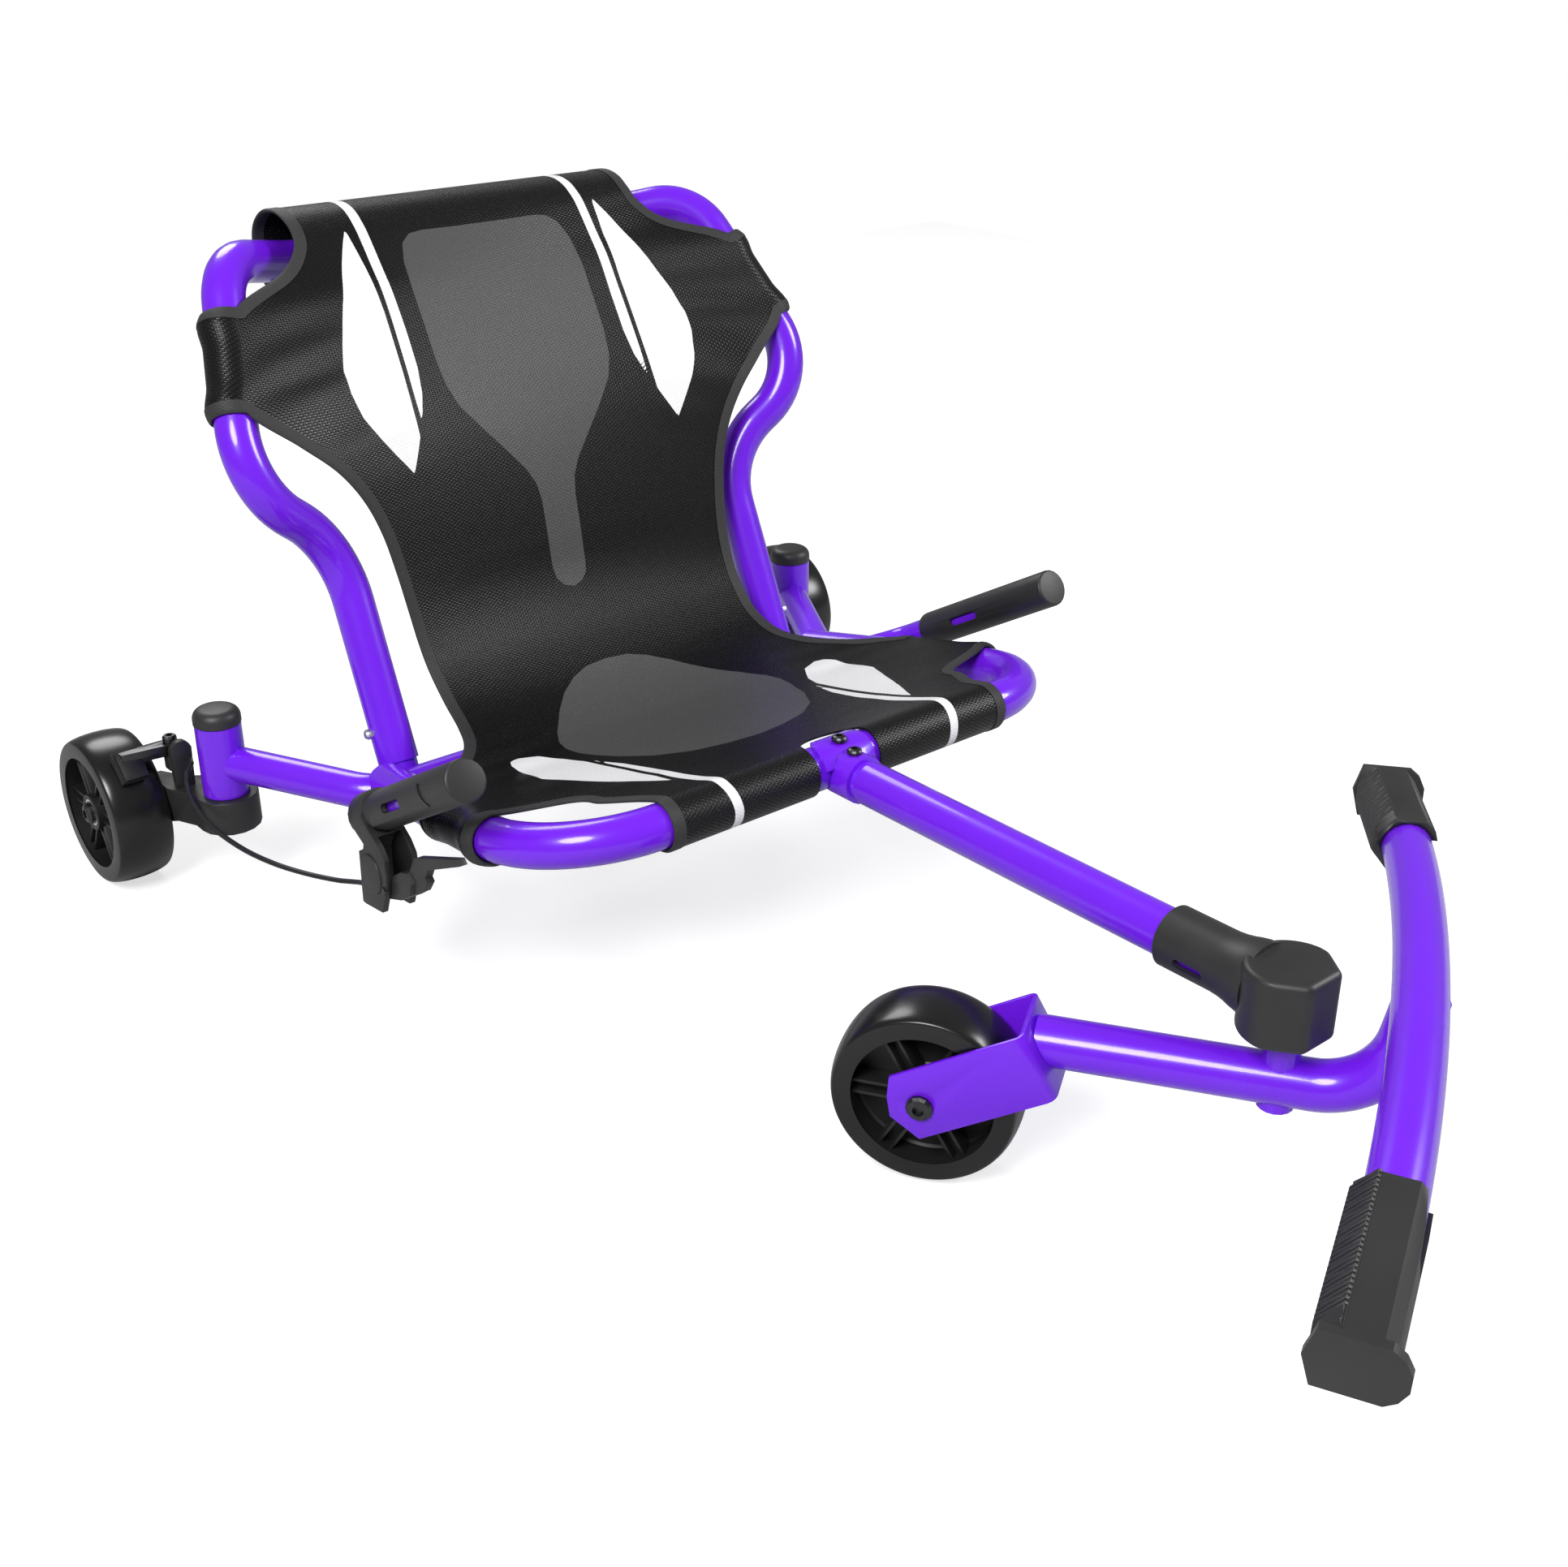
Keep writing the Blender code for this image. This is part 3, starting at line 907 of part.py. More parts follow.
def build_brake_lever():
    """Bracket on the right handle, its pin and the lever."""
    frame = handle_frame(-1.0)
    front = GRIP_LENGTH + GAP
    back = front + RING_LENGTH
    outline = [
        (0.1480, -0.0060), (0.1417, -0.0149), (0.1368, -0.0243), (0.1349, -0.0343), (0.1397, -0.0453),
        (0.1500, -0.0558), (0.1653, -0.0674), (0.1899, -0.0584), (0.1941, -0.0561), (0.1889, -0.0475),
        (0.1720, -0.0215), (0.1635, -0.0212), (0.1602, -0.0180), (0.1675, -0.0080), (0.1680, -0.0020),
    ]
    bracket = add("brake_bracket", placed(prism(outline, -BRACKET_OUTER, BRACKET_INNER, "X"), frame), scooter, PLASTIC, 30.0)
    ring = turned([(0.0, front), (RING_RADIUS, front), (RING_RADIUS, back), (0.0, back)], "Y", 20)
    join(bracket, placed(ring, frame))
    cavity = [(0.1000, -0.0165), (0.1500, -0.0165), (0.1640, -0.0240), (0.1800, -0.0480), (0.1850, -0.0560),
              (0.1800, -0.0800), (0.1000, -0.0800)]
    cavity_low = BRACKET_PLATE - BRACKET_OUTER
    cavity_high = BRACKET_INNER - BRACKET_PLATE
    cut(bracket, placed(prism(cavity, cavity_low, cavity_high, "X"), frame))
    grip_space = GRIP_RADIUS + 0.0006
    bore = turned([(0.0, front - 0.04), (grip_space, front - 0.04), (grip_space, front), (HANDLE_RADIUS + GAP, front),
                   (HANDLE_RADIUS + GAP, back + 0.01), (0.0, back + 0.01)], "Y", 20)
    cut(bracket, placed(bore, frame))
    pin_place = Vector((0.0, LEVER_PIN_BEHIND, -LEVER_PIN_BELOW))
    pin_frame = frame @ Matrix.Translation(pin_place)
    holes = [placed(rod((-0.03, 0.0, 0.0), (0.03, 0.0, 0.0), LEVER_PIN_RADIUS + GAP, SMALL_SIDES), pin_frame),
             rod(CABLE_ROUTE[0] * 2.5 - CABLE_ROUTE[1] * 1.5, CABLE_ROUTE[1] * 3.0 - CABLE_ROUTE[0] * 2.0,
                 CABLE_RADIUS + 0.0006, SMALL_SIDES)]
    cut(bracket, merged(holes))
    pin = rod((-BRACKET_OUTER - 0.0010, 0.0, 0.0), (BRACKET_INNER + 0.0010, 0.0, 0.0), LEVER_PIN_RADIUS, SMALL_SIDES)
    add("lever_pin", placed(pin, pin_frame), scooter, STEEL)

    axis = empty("lever_axis", scooter, matrix=pin_frame)
    hub = [(0.1470, -0.0455), (0.1586, -0.0480), (0.1586, -0.0592), (0.1370, -0.0626), (0.1200, -0.0610),
           (0.1130, -0.0540), (0.1160, -0.0457), (0.1236, -0.0440)]
    blade = [
        (0.1300, -0.0450), (0.1300, -0.0615), (0.1041, -0.0609), (0.0929, -0.0560), (0.0937, -0.0524), (0.0855, -0.0477),
        (0.0336, -0.0508), (0.0349, -0.0461), (0.0975, -0.0376), (0.1020, -0.0378), (0.1160, -0.0457),
    ]
    hub = [(y - pin_place.y, z - pin_place.z) for y, z in hub]
    blade = [(y - pin_place.y, z - pin_place.z) for y, z in blade]
    lever = add("brake_lever", prism(hub, cavity_low + GAP, cavity_high - GAP, "X"), axis, PLASTIC, 30.0)
    join(lever, prism(blade, -BLADE_OUTER, -BLADE_INNER, "X"))
    cut(lever, rod((-0.03, 0.0, 0.0), (0.03, 0.0, 0.0), LEVER_PIN_RADIUS + GAP, SMALL_SIDES))


def build_rear_brake(swivel, wheel_centre):
    """Brake post on the right caster, with the arm and pad that press on its wheel."""
    block_top = HEAD_BOTTOM - GAP
    centre = Vector((-POST_X, POST_Y, 0.0))
    head = POST_WIDTH / 2.0
    outline = [(centre.x + head * 0.85, block_top + GAP)]
    outline += arc((centre.x, POST_TOP - head), head, -0.25, math.pi + 0.25, 8) + [(centre.x - head * 0.85, block_top + GAP)]
    front = POST_Y
    post = add("brake_post", prism(outline, front, front + POST_THICKNESS, "Y"), swivel, PLASTIC)
    back = front + POST_THICKNESS
    lug_radius = BRAKE_ARM_RADIUS
    pin = Vector((-BRAKE_PIN_X, back + lug_radius + GAP, 0.0))
    lug_outline = arc((pin.x, pin.y), lug_radius, 0.0, math.pi, 6)
    lug_outline += [(pin.x - lug_radius, back - 0.002), (pin.x + lug_radius, back - 0.002)]
    lug = prism(lug_outline, BRAKE_LUG_BOTTOM, BRAKE_LUG_TOP)
    join(post, lug)
    cut(post, rod((pin.x, pin.y, 0.09), (pin.x, pin.y, 0.13), BRAKE_PIN_RADIUS + GAP, SMALL_SIDES))
    arm_low = BRAKE_LUG_TOP + GAP
    arm_high = arm_low + BRAKE_ARM_THICKNESS
    head_profile = [
        (0.0, BRAKE_LUG_BOTTOM - 0.0015), (BRAKE_PIN_RADIUS, BRAKE_LUG_BOTTOM - 0.0015), (BRAKE_PIN_RADIUS, arm_high + GAP),
        (0.0055, arm_high + GAP), (0.0055, arm_high + 0.0042), (0.0042, arm_high + 0.0055), (0.0026, arm_high + 0.0055),
        (0.0026, arm_high + 0.0025), (0.0, arm_high + 0.0025),
    ]
    add("brake_pivot_bolt", placed(turned(head_profile, sides=SMALL_SIDES), pin), swivel, STEEL)

    axis = empty("brake_arm_axis", swivel, pin)
    hub = wheel_centre - pin
    reach = abs(hub.x)
    bar_end = -reach - 0.0060
    arm_outline = arc((0.0, 0.0), BRAKE_ARM_RADIUS, -math.pi / 2.0, math.pi / 2.0, 6)
    arm_outline += [(-0.0060, 0.0065), (bar_end, 0.0065), (bar_end, -0.0015), (-0.0090, -0.0050)]
    arm = add("brake_arm", prism(arm_outline, arm_low, arm_high), axis, STEEL)
    inner = WHEEL_RADIUS + PAD_GAP
    outer = inner + PAD_THICKNESS
    holder_steps = 4

    def shoe(low, high, start, end, half):
        """Curved block round the tread, between two radii and two angles."""
        angles = [start + (end - start) * step / holder_steps for step in range(holder_steps + 1)]
        near = [(hub.y - low * math.cos(a), hub.z + low * math.sin(a)) for a in angles]
        far = [(hub.y - high * math.cos(a), hub.z + high * math.sin(a)) for a in reversed(angles)]
        return placed(prism(near + far, -half, half, "X"), Vector((hub.x, 0.0, 0.0)))

    wheel_space = rod((hub.x - 0.03, hub.y, hub.z), (hub.x + PAD_HALF_WIDTH + 0.002, hub.y, hub.z), outer + GAP, 64)
    cut(arm, wheel_space)
    join(arm, shoe(outer + GAP, outer + 0.0050, PAD_LOW_ANGLE, PAD_HIGH_ANGLE - 0.05, PAD_HALF_WIDTH - 0.001))
    cut(arm, rod((0.0, 0.0, arm_low - 0.01), (0.0, 0.0, arm_high + 0.01), BRAKE_PIN_RADIUS + GAP, SMALL_SIDES))
    add("brake_pad", shoe(inner, outer, PAD_LOW_ANGLE, PAD_HIGH_ANGLE, PAD_HALF_WIDTH), axis, TREAD)


def build_cable():
    """Brake cable from the lever's bracket to the post on the right caster."""
    points = smooth_route(CABLE_ROUTE, 0.009)
    curve = bpy.data.curves.new("brake_cable", "CURVE")
    curve.dimensions = "3D"
    curve.bevel_depth = CABLE_RADIUS
    curve.bevel_resolution = 2
    curve.use_fill_caps = True
    line = curve.splines.new("POLY")
    line.points.add(len(points) - 1)
    for slot, place in zip(line.points, points):
        slot.co = (*place, 1.0)
    cable = bpy.data.objects.new("brake_cable", curve)
    bpy.context.scene.collection.objects.link(cable)
    cable.parent = scooter
    curve.materials.append(CABLE)


def smooth_route(points, step):
    """Points at an even step along a smooth curve through the route's own points."""
    ends = [points[0] * 2.0 - points[1]] + points + [points[-1] * 2.0 - points[-2]]
    fine = []
    for before, start, end, after in zip(ends, ends[1:], ends[2:], ends[3:]):
        for part in range(12):
            t = part / 12.0
            fine.append(0.5 * ((2.0 * start) + (end - before) * t + (2.0 * before - 5.0 * start + 4.0 * end - after) * t * t
                               + (3.0 * start - before - 3.0 * end + after) * t ** 3))
    fine.append(points[-1])
    total = sum((b - a).length for a, b in zip(fine, fine[1:]))
    count = max(2, round(total / step))
    spaced = [fine[0]]
    travelled = 0.0
    for a, b in zip(fine, fine[1:]):
        length = (b - a).length
        while len(spaced) < count and travelled + length >= total * len(spaced) / count:
            spaced.append(a.lerp(b, (total * len(spaced) / count - travelled) / length))
        travelled += length
    return spaced + [fine[-1]]


def wrap_rows(centres, along, front, outward, turn, steps):
    """Rows of points that lay cloth round a tube, from its front towards the outer side and behind."""
    rows = []
    for step in range(steps + 1):
        angle = turn * step / steps
        direction = front * math.cos(angle) + outward * math.sin(angle)
        rows.append([centre + direction * WRAP_RADIUS for centre in centres])
    return rows


def seat_place(share):
    """Distance behind the steering axis at a share of the seat's depth, from its front tube to its crease."""
    return BASE_Y + (SEAT_CREASE_Y - BASE_Y) * share


def build_sling():
    """Cloth seat: sleeved round the base and the seat back, with a loose loop over the top bar."""
    half = 0.152
    rows = []
    for step in range(11):
        angle = math.radians(205.0 - 22.7 * step)
        y = BASE_Y - WRAP_RADIUS * math.sin(angle)
        z = BASE_Z + WRAP_RADIUS * math.cos(angle)
        rows.append(((y, z), (half, y, z)))
    for share, low, side, high in ((0.0809, 0.1725, 0.1560, 0.1750), (0.1618, 0.1630, 0.1690, 0.1690),
                                   (0.2279, 0.1550, 0.1770, 0.1650)):
        rows.append(((seat_place(share), low), (side, seat_place(share), high)))
    rail_start, rail = base_rail(1.0)
    rail_dir = rail.normalized()
    rail_up = (Vector((0.0, 0.0, 1.0)) - rail_dir * rail_dir.z).normalized()
    rail_out = rail_dir.cross(rail_up)
    rail_centres = [rail_start + rail * ((seat_place(share) - BASE_Y) / rail.y) for share in (0.2868, 0.3915, 0.4963, 0.6011)]
    side_rows = (len(rows), len(rows) + len(rail_centres))
    for (share, z), centre in zip(((0.2868, 0.1480), (0.3915, 0.1345), (0.4963, 0.1205), (0.5956, 0.1120)), rail_centres):
        edge = centre + rail_up * WRAP_RADIUS
        rows.append(((seat_place(share), z), tuple(edge)))
    for share, low, side, edge_share, high in ((0.6949, 0.1090, 0.1900, 0.7059, 0.1480), (0.7868, 0.1120, 0.1660, 0.8088, 0.1475),
                                               (0.8971, 0.1225, 0.1545, 0.9044, 0.1500)):
        rows.append(((seat_place(share), low), (side, seat_place(edge_share), high)))
    rows += [
        ((0.6580, 0.1400), (0.1503, 0.6572, 0.1600)),
        ((0.6820, 0.1650), (0.1499, 0.6781, 0.1800)), ((0.6980, 0.1920), (0.1503, 0.6885, 0.1980)),
        ((0.7080, 0.2200), (0.1515, 0.6970, 0.2220)), ((0.7165, 0.2500), (0.1545, 0.7045, 0.2510)),
        ((0.7250, 0.2800), (0.1602, 0.7105, 0.2820)), ((0.7350, 0.3080), (0.1705, 0.7148, 0.3090)),
        ((0.7455, 0.3330), (0.1870, 0.7185, 0.3330)), ((0.7555, 0.3560), (0.2110, 0.7245, 0.3550)),
    ]
    climb = BACK_SHOULDER - BACK_ELBOW
    climb_dir = climb.normalized()
    climb_front = (climb_dir * climb_dir.y - Vector((0.0, 1.0, 0.0))).normalized()
    climb_out = climb_front.cross(climb_dir)
    if climb_out.x < 0.0:
        climb_out = -climb_out
    back_centres = [BACK_ELBOW + climb * ((z - BACK_ELBOW.z) / climb.z) for z in (0.3740, 0.3950, 0.4160, 0.4360)]
    shoulder_rows = (len(rows), len(rows) + len(back_centres))
    for (y, z), centre in zip(((0.7640, 0.3760), (0.7725, 0.3960), (0.7810, 0.4160), (0.7890, 0.4350)), back_centres):
        edge = centre + climb_front * WRAP_RADIUS
        rows.append(((y, z), tuple(edge)))
    rows += [
        ((0.7965, 0.4510), (0.1750, 0.8000, 0.4590)), ((0.8050, 0.4660), (0.1560, 0.8130, 0.4730)),
        ((0.8165, 0.4800), (half, 0.8230, 0.4840)), ((0.8325, 0.4915), (half, 0.8360, 0.4920)),
        ((0.8510, 0.4950), (half, 0.8520, 0.4950)), ((0.8710, 0.4915), (half, 0.8710, 0.4915)),
        ((0.8860, 0.4790), (half, 0.8860, 0.4790)), ((0.8895, 0.4620), (half, 0.8895, 0.4620)),
        ((0.8840, 0.4440), (half, 0.8840, 0.4440)), ((0.8690, 0.4345), (half, 0.8690, 0.4345)),
        ((0.8490, 0.4320), (half, 0.8490, 0.4320)),
    ]
    shape = bmesh.new()
    columns = 8
    grid = []
    for (centre_y, centre_z), edge in rows:
        line = []
        for column in range(columns + 1):
            u = 2.0 * column / columns - 1.0
            blend = u * u
            line.append(shape.verts.new((edge[0] * u, centre_y + (edge[1] - centre_y) * blend,
                                         centre_z + (edge[2] - centre_z) * blend)))
        grid.append(line)
    for lower, upper in zip(grid, grid[1:]):
        for column in range(columns):
            shape.faces.new((lower[column], lower[column + 1], upper[column + 1], upper[column]))
    sleeves = ((side_rows, rail_centres, rail_dir, rail_up, rail_out),
               (shoulder_rows, back_centres, climb_dir, climb_front, climb_out))
    for (first, last), centres, along, front, outward in sleeves:
        if outward.x < 0.0:
            outward = -outward
        for side, column in ((1.0, columns), (-1.0, 0)):
            before = [grid[row][column] for row in range(first, last)]
            for ring in wrap_rows(centres, along, front, outward, math.radians(200.0), 7)[1:]:
                now = [shape.verts.new((side * point.x, point.y, point.z)) for point in ring]
                for index in range(len(now) - 1):
                    shape.faces.new((before[index], before[index + 1], now[index + 1], now[index]))
                before = now
    sling = add("seat_sling", shape, scooter, FABRIC, 60.0)
    thickness = sling.modifiers.new("cloth", "SOLIDIFY")
    thickness.thickness = CLOTH
    thickness.offset = 0.0
    notch = arc((0.0, BASE_Y - 0.006), SADDLE_HALF_WIDTH + 0.0045, 0.0, math.pi, 8)
    notch += [(-SADDLE_HALF_WIDTH - 0.0045, BASE_Y - 0.041), (SADDLE_HALF_WIDTH + 0.0045, BASE_Y - 0.041)]
    cut(sling, prism(notch, 0.130, 0.210))


build_caster(1.0, "left")
right_swivel, right_wheel_centre = build_caster(-1.0, "right")
seat_base_path = build_seat_base(build_rear_beam())
build_seat_back()
build_boom()
build_front()
build_handle(1.0, "left", seat_base_path)
build_handle(-1.0, "right", seat_base_path)
build_brake_lever()
build_rear_brake(right_swivel, right_wheel_centre)
build_cable()
build_sling()
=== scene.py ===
"""Sit-down scooter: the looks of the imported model.

The bent tubes, wheels, moulded pieces and the cloth seat are modelled finely over the solids, and
every piece gets a procedural finish. Lengths are in metres. The scooter faces -Y and +X is the
rider's left. Places that start from the steering axis are shifted by PIVOT.
"""

import json
import logging
import math
from contextlib import contextmanager
from dataclasses import dataclass, field
from enum import Enum
from typing import Callable, Iterator, Optional, Sequence, Union

import bmesh
import bpy
from mathutils import Matrix, Vector
from mathutils.bvhtree import BVHTree


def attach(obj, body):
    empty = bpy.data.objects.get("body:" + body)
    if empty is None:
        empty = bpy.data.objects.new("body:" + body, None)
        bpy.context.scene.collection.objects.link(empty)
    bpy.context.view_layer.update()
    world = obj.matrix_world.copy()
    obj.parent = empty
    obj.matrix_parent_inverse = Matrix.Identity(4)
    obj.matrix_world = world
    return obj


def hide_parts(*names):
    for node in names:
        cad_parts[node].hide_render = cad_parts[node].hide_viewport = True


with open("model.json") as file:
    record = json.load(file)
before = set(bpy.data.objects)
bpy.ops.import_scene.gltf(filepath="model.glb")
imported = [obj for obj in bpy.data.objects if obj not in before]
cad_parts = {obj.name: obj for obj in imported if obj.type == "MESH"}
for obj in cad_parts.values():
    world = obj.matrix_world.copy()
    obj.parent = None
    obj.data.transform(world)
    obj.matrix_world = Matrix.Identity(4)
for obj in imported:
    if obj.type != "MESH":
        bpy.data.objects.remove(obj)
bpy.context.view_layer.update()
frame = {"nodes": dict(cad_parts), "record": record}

log = logging.getLogger("scooter")
PIVOT = Vector((0.0, -0.3478, 0.0))
STEER_ANGLE = math.radians(32.93)
STEERED = Matrix.Translation(PIVOT) @ Matrix.Rotation(STEER_ANGLE, 4, "Z")
ORIGIN = Vector((0.0, 0.0, 0.0))
UP = Vector((0.0, 0.0, 1.0))
BACK = Vector((0.0, 1.0, 0.0))
TUBE_RADIUS = 0.0155
STUB_RADIUS = 0.0137
# Label of each side of the rider, and 1 or -1 for the way that it lies along X.
SIDES = (("left", 1.0), ("right", -1.0))
AXLE_HEIGHT = 0.060
FRONT_AXLE = Vector((0.0, 0.2034, AXLE_HEIGHT))

Points2D = Sequence[tuple[float, float]]
Colour = tuple[float, float, float]
Piece = bpy.types.Object
Tree = bpy.types.NodeTree
Socket = bpy.types.NodeSocket


class Body(Enum):
    """Moving groups that pieces ride on."""

    FRAME = "frame"
    LEVER = "brake_lever"
    STEERING = "steering"
    FRONT_WHEEL = "front_wheel"
    CASTER_LEFT = "caster_left"
    CASTER_RIGHT = "caster_right"
    BRAKE_ARM = "brake_arm"
    REAR_WHEEL_LEFT = "rear_wheel_left"
    REAR_WHEEL_RIGHT = "rear_wheel_right"


class Axis(Enum):
    """Directions that turned pieces are made along."""

    X = "X"
    Y = "Y"
    Z = "Z"


# Shader helpers


def put(tree: Tree, socket: Socket, value: Union[Socket, float, Sequence[float]]) -> None:
    """Link another socket to an input, or set the input's plain value.

    Args:
        tree: The tree that holds both.
        socket: The input.
        value: A socket to link, or a plain value.
    """
    if isinstance(value, Socket):
        tree.links.new(value, socket)
    else:
        socket.default_value = value


def add_node(tree: Tree, kind: str, **inputs: Union[Socket, float]) -> bpy.types.Node:
    """Add a shader node.

    Args:
        tree: The tree that gets the node.
        kind: The node's type, without the word ShaderNode.
        **inputs: Values or sockets of its inputs, named with underscores for spaces.

    Returns:
        The node.
    """
    node = tree.nodes.new("ShaderNode" + kind)
    for name, value in inputs.items():
        put(tree, node.inputs[name.replace("_", " ").title()], value)
    return node


def math_node(tree: Tree, operation: str, *values: Union[Socket, float]) -> Socket:
    """Add a Math node.

    Args:
        tree: The tree that gets the node.
        operation: The node's operation.
        *values: One or two sockets or numbers.

    Returns:
        The node's value.
    """
    node = tree.nodes.new("ShaderNodeMath")
    node.operation = operation
    for socket, value in zip(node.inputs, values):
        put(tree, socket, value)
    return node.outputs[0]


def new_group(name: str, setting: str, value: float,
              outputs: Sequence[str]) -> tuple[Tree, bpy.types.Node, bpy.types.Node]:
    """Make an empty shader group with a Vector input and one setting.

    Args:
        name: The group's name.
        setting: The setting's name.
        value: The setting's default.
        outputs: Name of each output.

    Returns:
        The group, its input node and its output node.
    """
    group = bpy.data.node_groups.new(name, "ShaderNodeTree")
    sockets = group.interface
    sockets.new_socket(name="Vector", in_out="INPUT", socket_type="NodeSocketVector")
    sockets.new_socket(name=setting, in_out="INPUT", socket_type="NodeSocketFloat").default_value = value
    for label in outputs:
        sockets.new_socket(name=label, in_out="OUTPUT", socket_type="NodeSocketFloat")
    return group, group.nodes.new("NodeGroupInput"), group.nodes.new("NodeGroupOutput")


def fine_grain_group() -> Tree:
    """Fine moulded grain: a height for bump and a slow tint for roughness.

    Returns:
        The group, with outputs Height and Tint.
    """
    group, entry, leave = new_group("fine grain", "Grain Scale", 2600.0, ("Height", "Tint"))
    place = entry.outputs["Vector"]
    grain = add_node(group, "TexNoise", detail=3.0, vector=place, scale=entry.outputs["Grain Scale"])
    slow = add_node(group, "TexNoise", scale=34.0, detail=4.0, vector=place)
    put(group, leave.inputs["Height"], grain.outputs[0])
    put(group, leave.inputs["Tint"], slow.outputs[0])
    return group


def weave_group() -> Tree:
    """Plain weave of flat strands on a surface's own map, in metres.

    Returns:
        The group, with outputs Height, Strand and Gap.
    """
    group, entry, leave = new_group("flat strand weave", "Strand Width", 0.0016, ("Height", "Strand", "Gap"))
    warp_width_ratio, roundness, gap_share = 1.6, 0.6, 0.22
    split = add_node(group, "SeparateXYZ", vector=entry.outputs["Vector"])
    width = entry.outputs["Strand Width"]
    across = math_node(group, "DIVIDE", math_node(group, "DIVIDE", split.outputs[0], width), warp_width_ratio)
    along = math_node(group, "DIVIDE", split.outputs[1], width)
    waves, cells = [], []
    for place in (across, along):
        turn = math_node(group, "MULTIPLY", place, math.pi)
        waves.append(math_node(group, "ABSOLUTE", math_node(group, "SINE", turn)))
        cells.append(math_node(group, "FLOOR", place))
    over = math_node(group, "PINGPONG", math_node(group, "ADD", *cells), 1.0)
    under = math_node(group, "SUBTRACT", 1.0, over)
    warp, weft = (math_node(group, "MULTIPLY", math_node(group, "POWER", wave, roundness), share)
                  for wave, share in zip(waves, (over, under)))
    put(group, leave.inputs["Height"], math_node(group, "ADD", warp, weft))
    put(group, leave.inputs["Strand"], over)
    gap = math_node(group, "LESS_THAN", math_node(group, "MINIMUM", *waves), gap_share)
    put(group, leave.inputs["Gap"], gap)
    return group


# Each pattern's group and the texture coordinates that it lies on.
PATTERNS = {"grain": (fine_grain_group(), "Object"), "weave": (weave_group(), "UV")}


def faded(colour: Colour, share: float) -> Colour:
    """A colour with only a share of its light left."""
    return tuple(part * share for part in colour)


class Shade:
    """A material under way, with its Principled shader."""

    def __init__(self, name: str) -> None:
        """Start a material with one Principled shader.

        Args:
            name: The material's name.
        """
        self.material = bpy.data.materials.new(name)
        self.material.use_nodes = True
        self.tree = self.material.node_tree
        self.shader = self.tree.nodes["Principled BSDF"]

    def set(self, **values: Union[Socket, float, Sequence[float]]) -> "Shade":
        """Set or link the shader's own inputs, named with underscores for spaces.

        Args:
            **values: Values or sockets.

        Returns:
            The same material under way.
        """
        for name, value in values.items():
            put(self.tree, self.shader.inputs[name.replace("_", " ").title().replace("Ior", "IOR")], value)
        return self

    def pattern(self, key: str, scale: float) -> bpy.types.Node:
        """Place a shared pattern.

        Args:
            key: The pattern's key in PATTERNS.
            scale: Its one setting.

        Returns:
            The pattern's node.
        """
        node = self.tree.nodes.new("ShaderNodeGroup")
        node.node_tree, coordinates = PATTERNS[key]
        put(self.tree, node.inputs[0], add_node(self.tree, "TexCoord").outputs[coordinates])
        node.inputs[1].default_value = scale
        return node

    def ramp(self, value: Socket, low: Colour, high: Colour, spread: tuple[float, float]) -> Socket:
        """Map a value to a colour between two colours.

        Args:
            value: The value's socket.
            low: Colour at the lower end.
            high: Colour at the upper end.
            spread: Values at both ends.

        Returns:
            The colour's socket.
        """
        node = add_node(self.tree, "ValToRGB", fac=value)
        for element, place, colour in zip(node.color_ramp.elements, spread, (low, high)):
            element.position = place
            element.color = (*colour, 1.0)
        return node.outputs[0]


INKS = ("panel", "flash", "stripe")


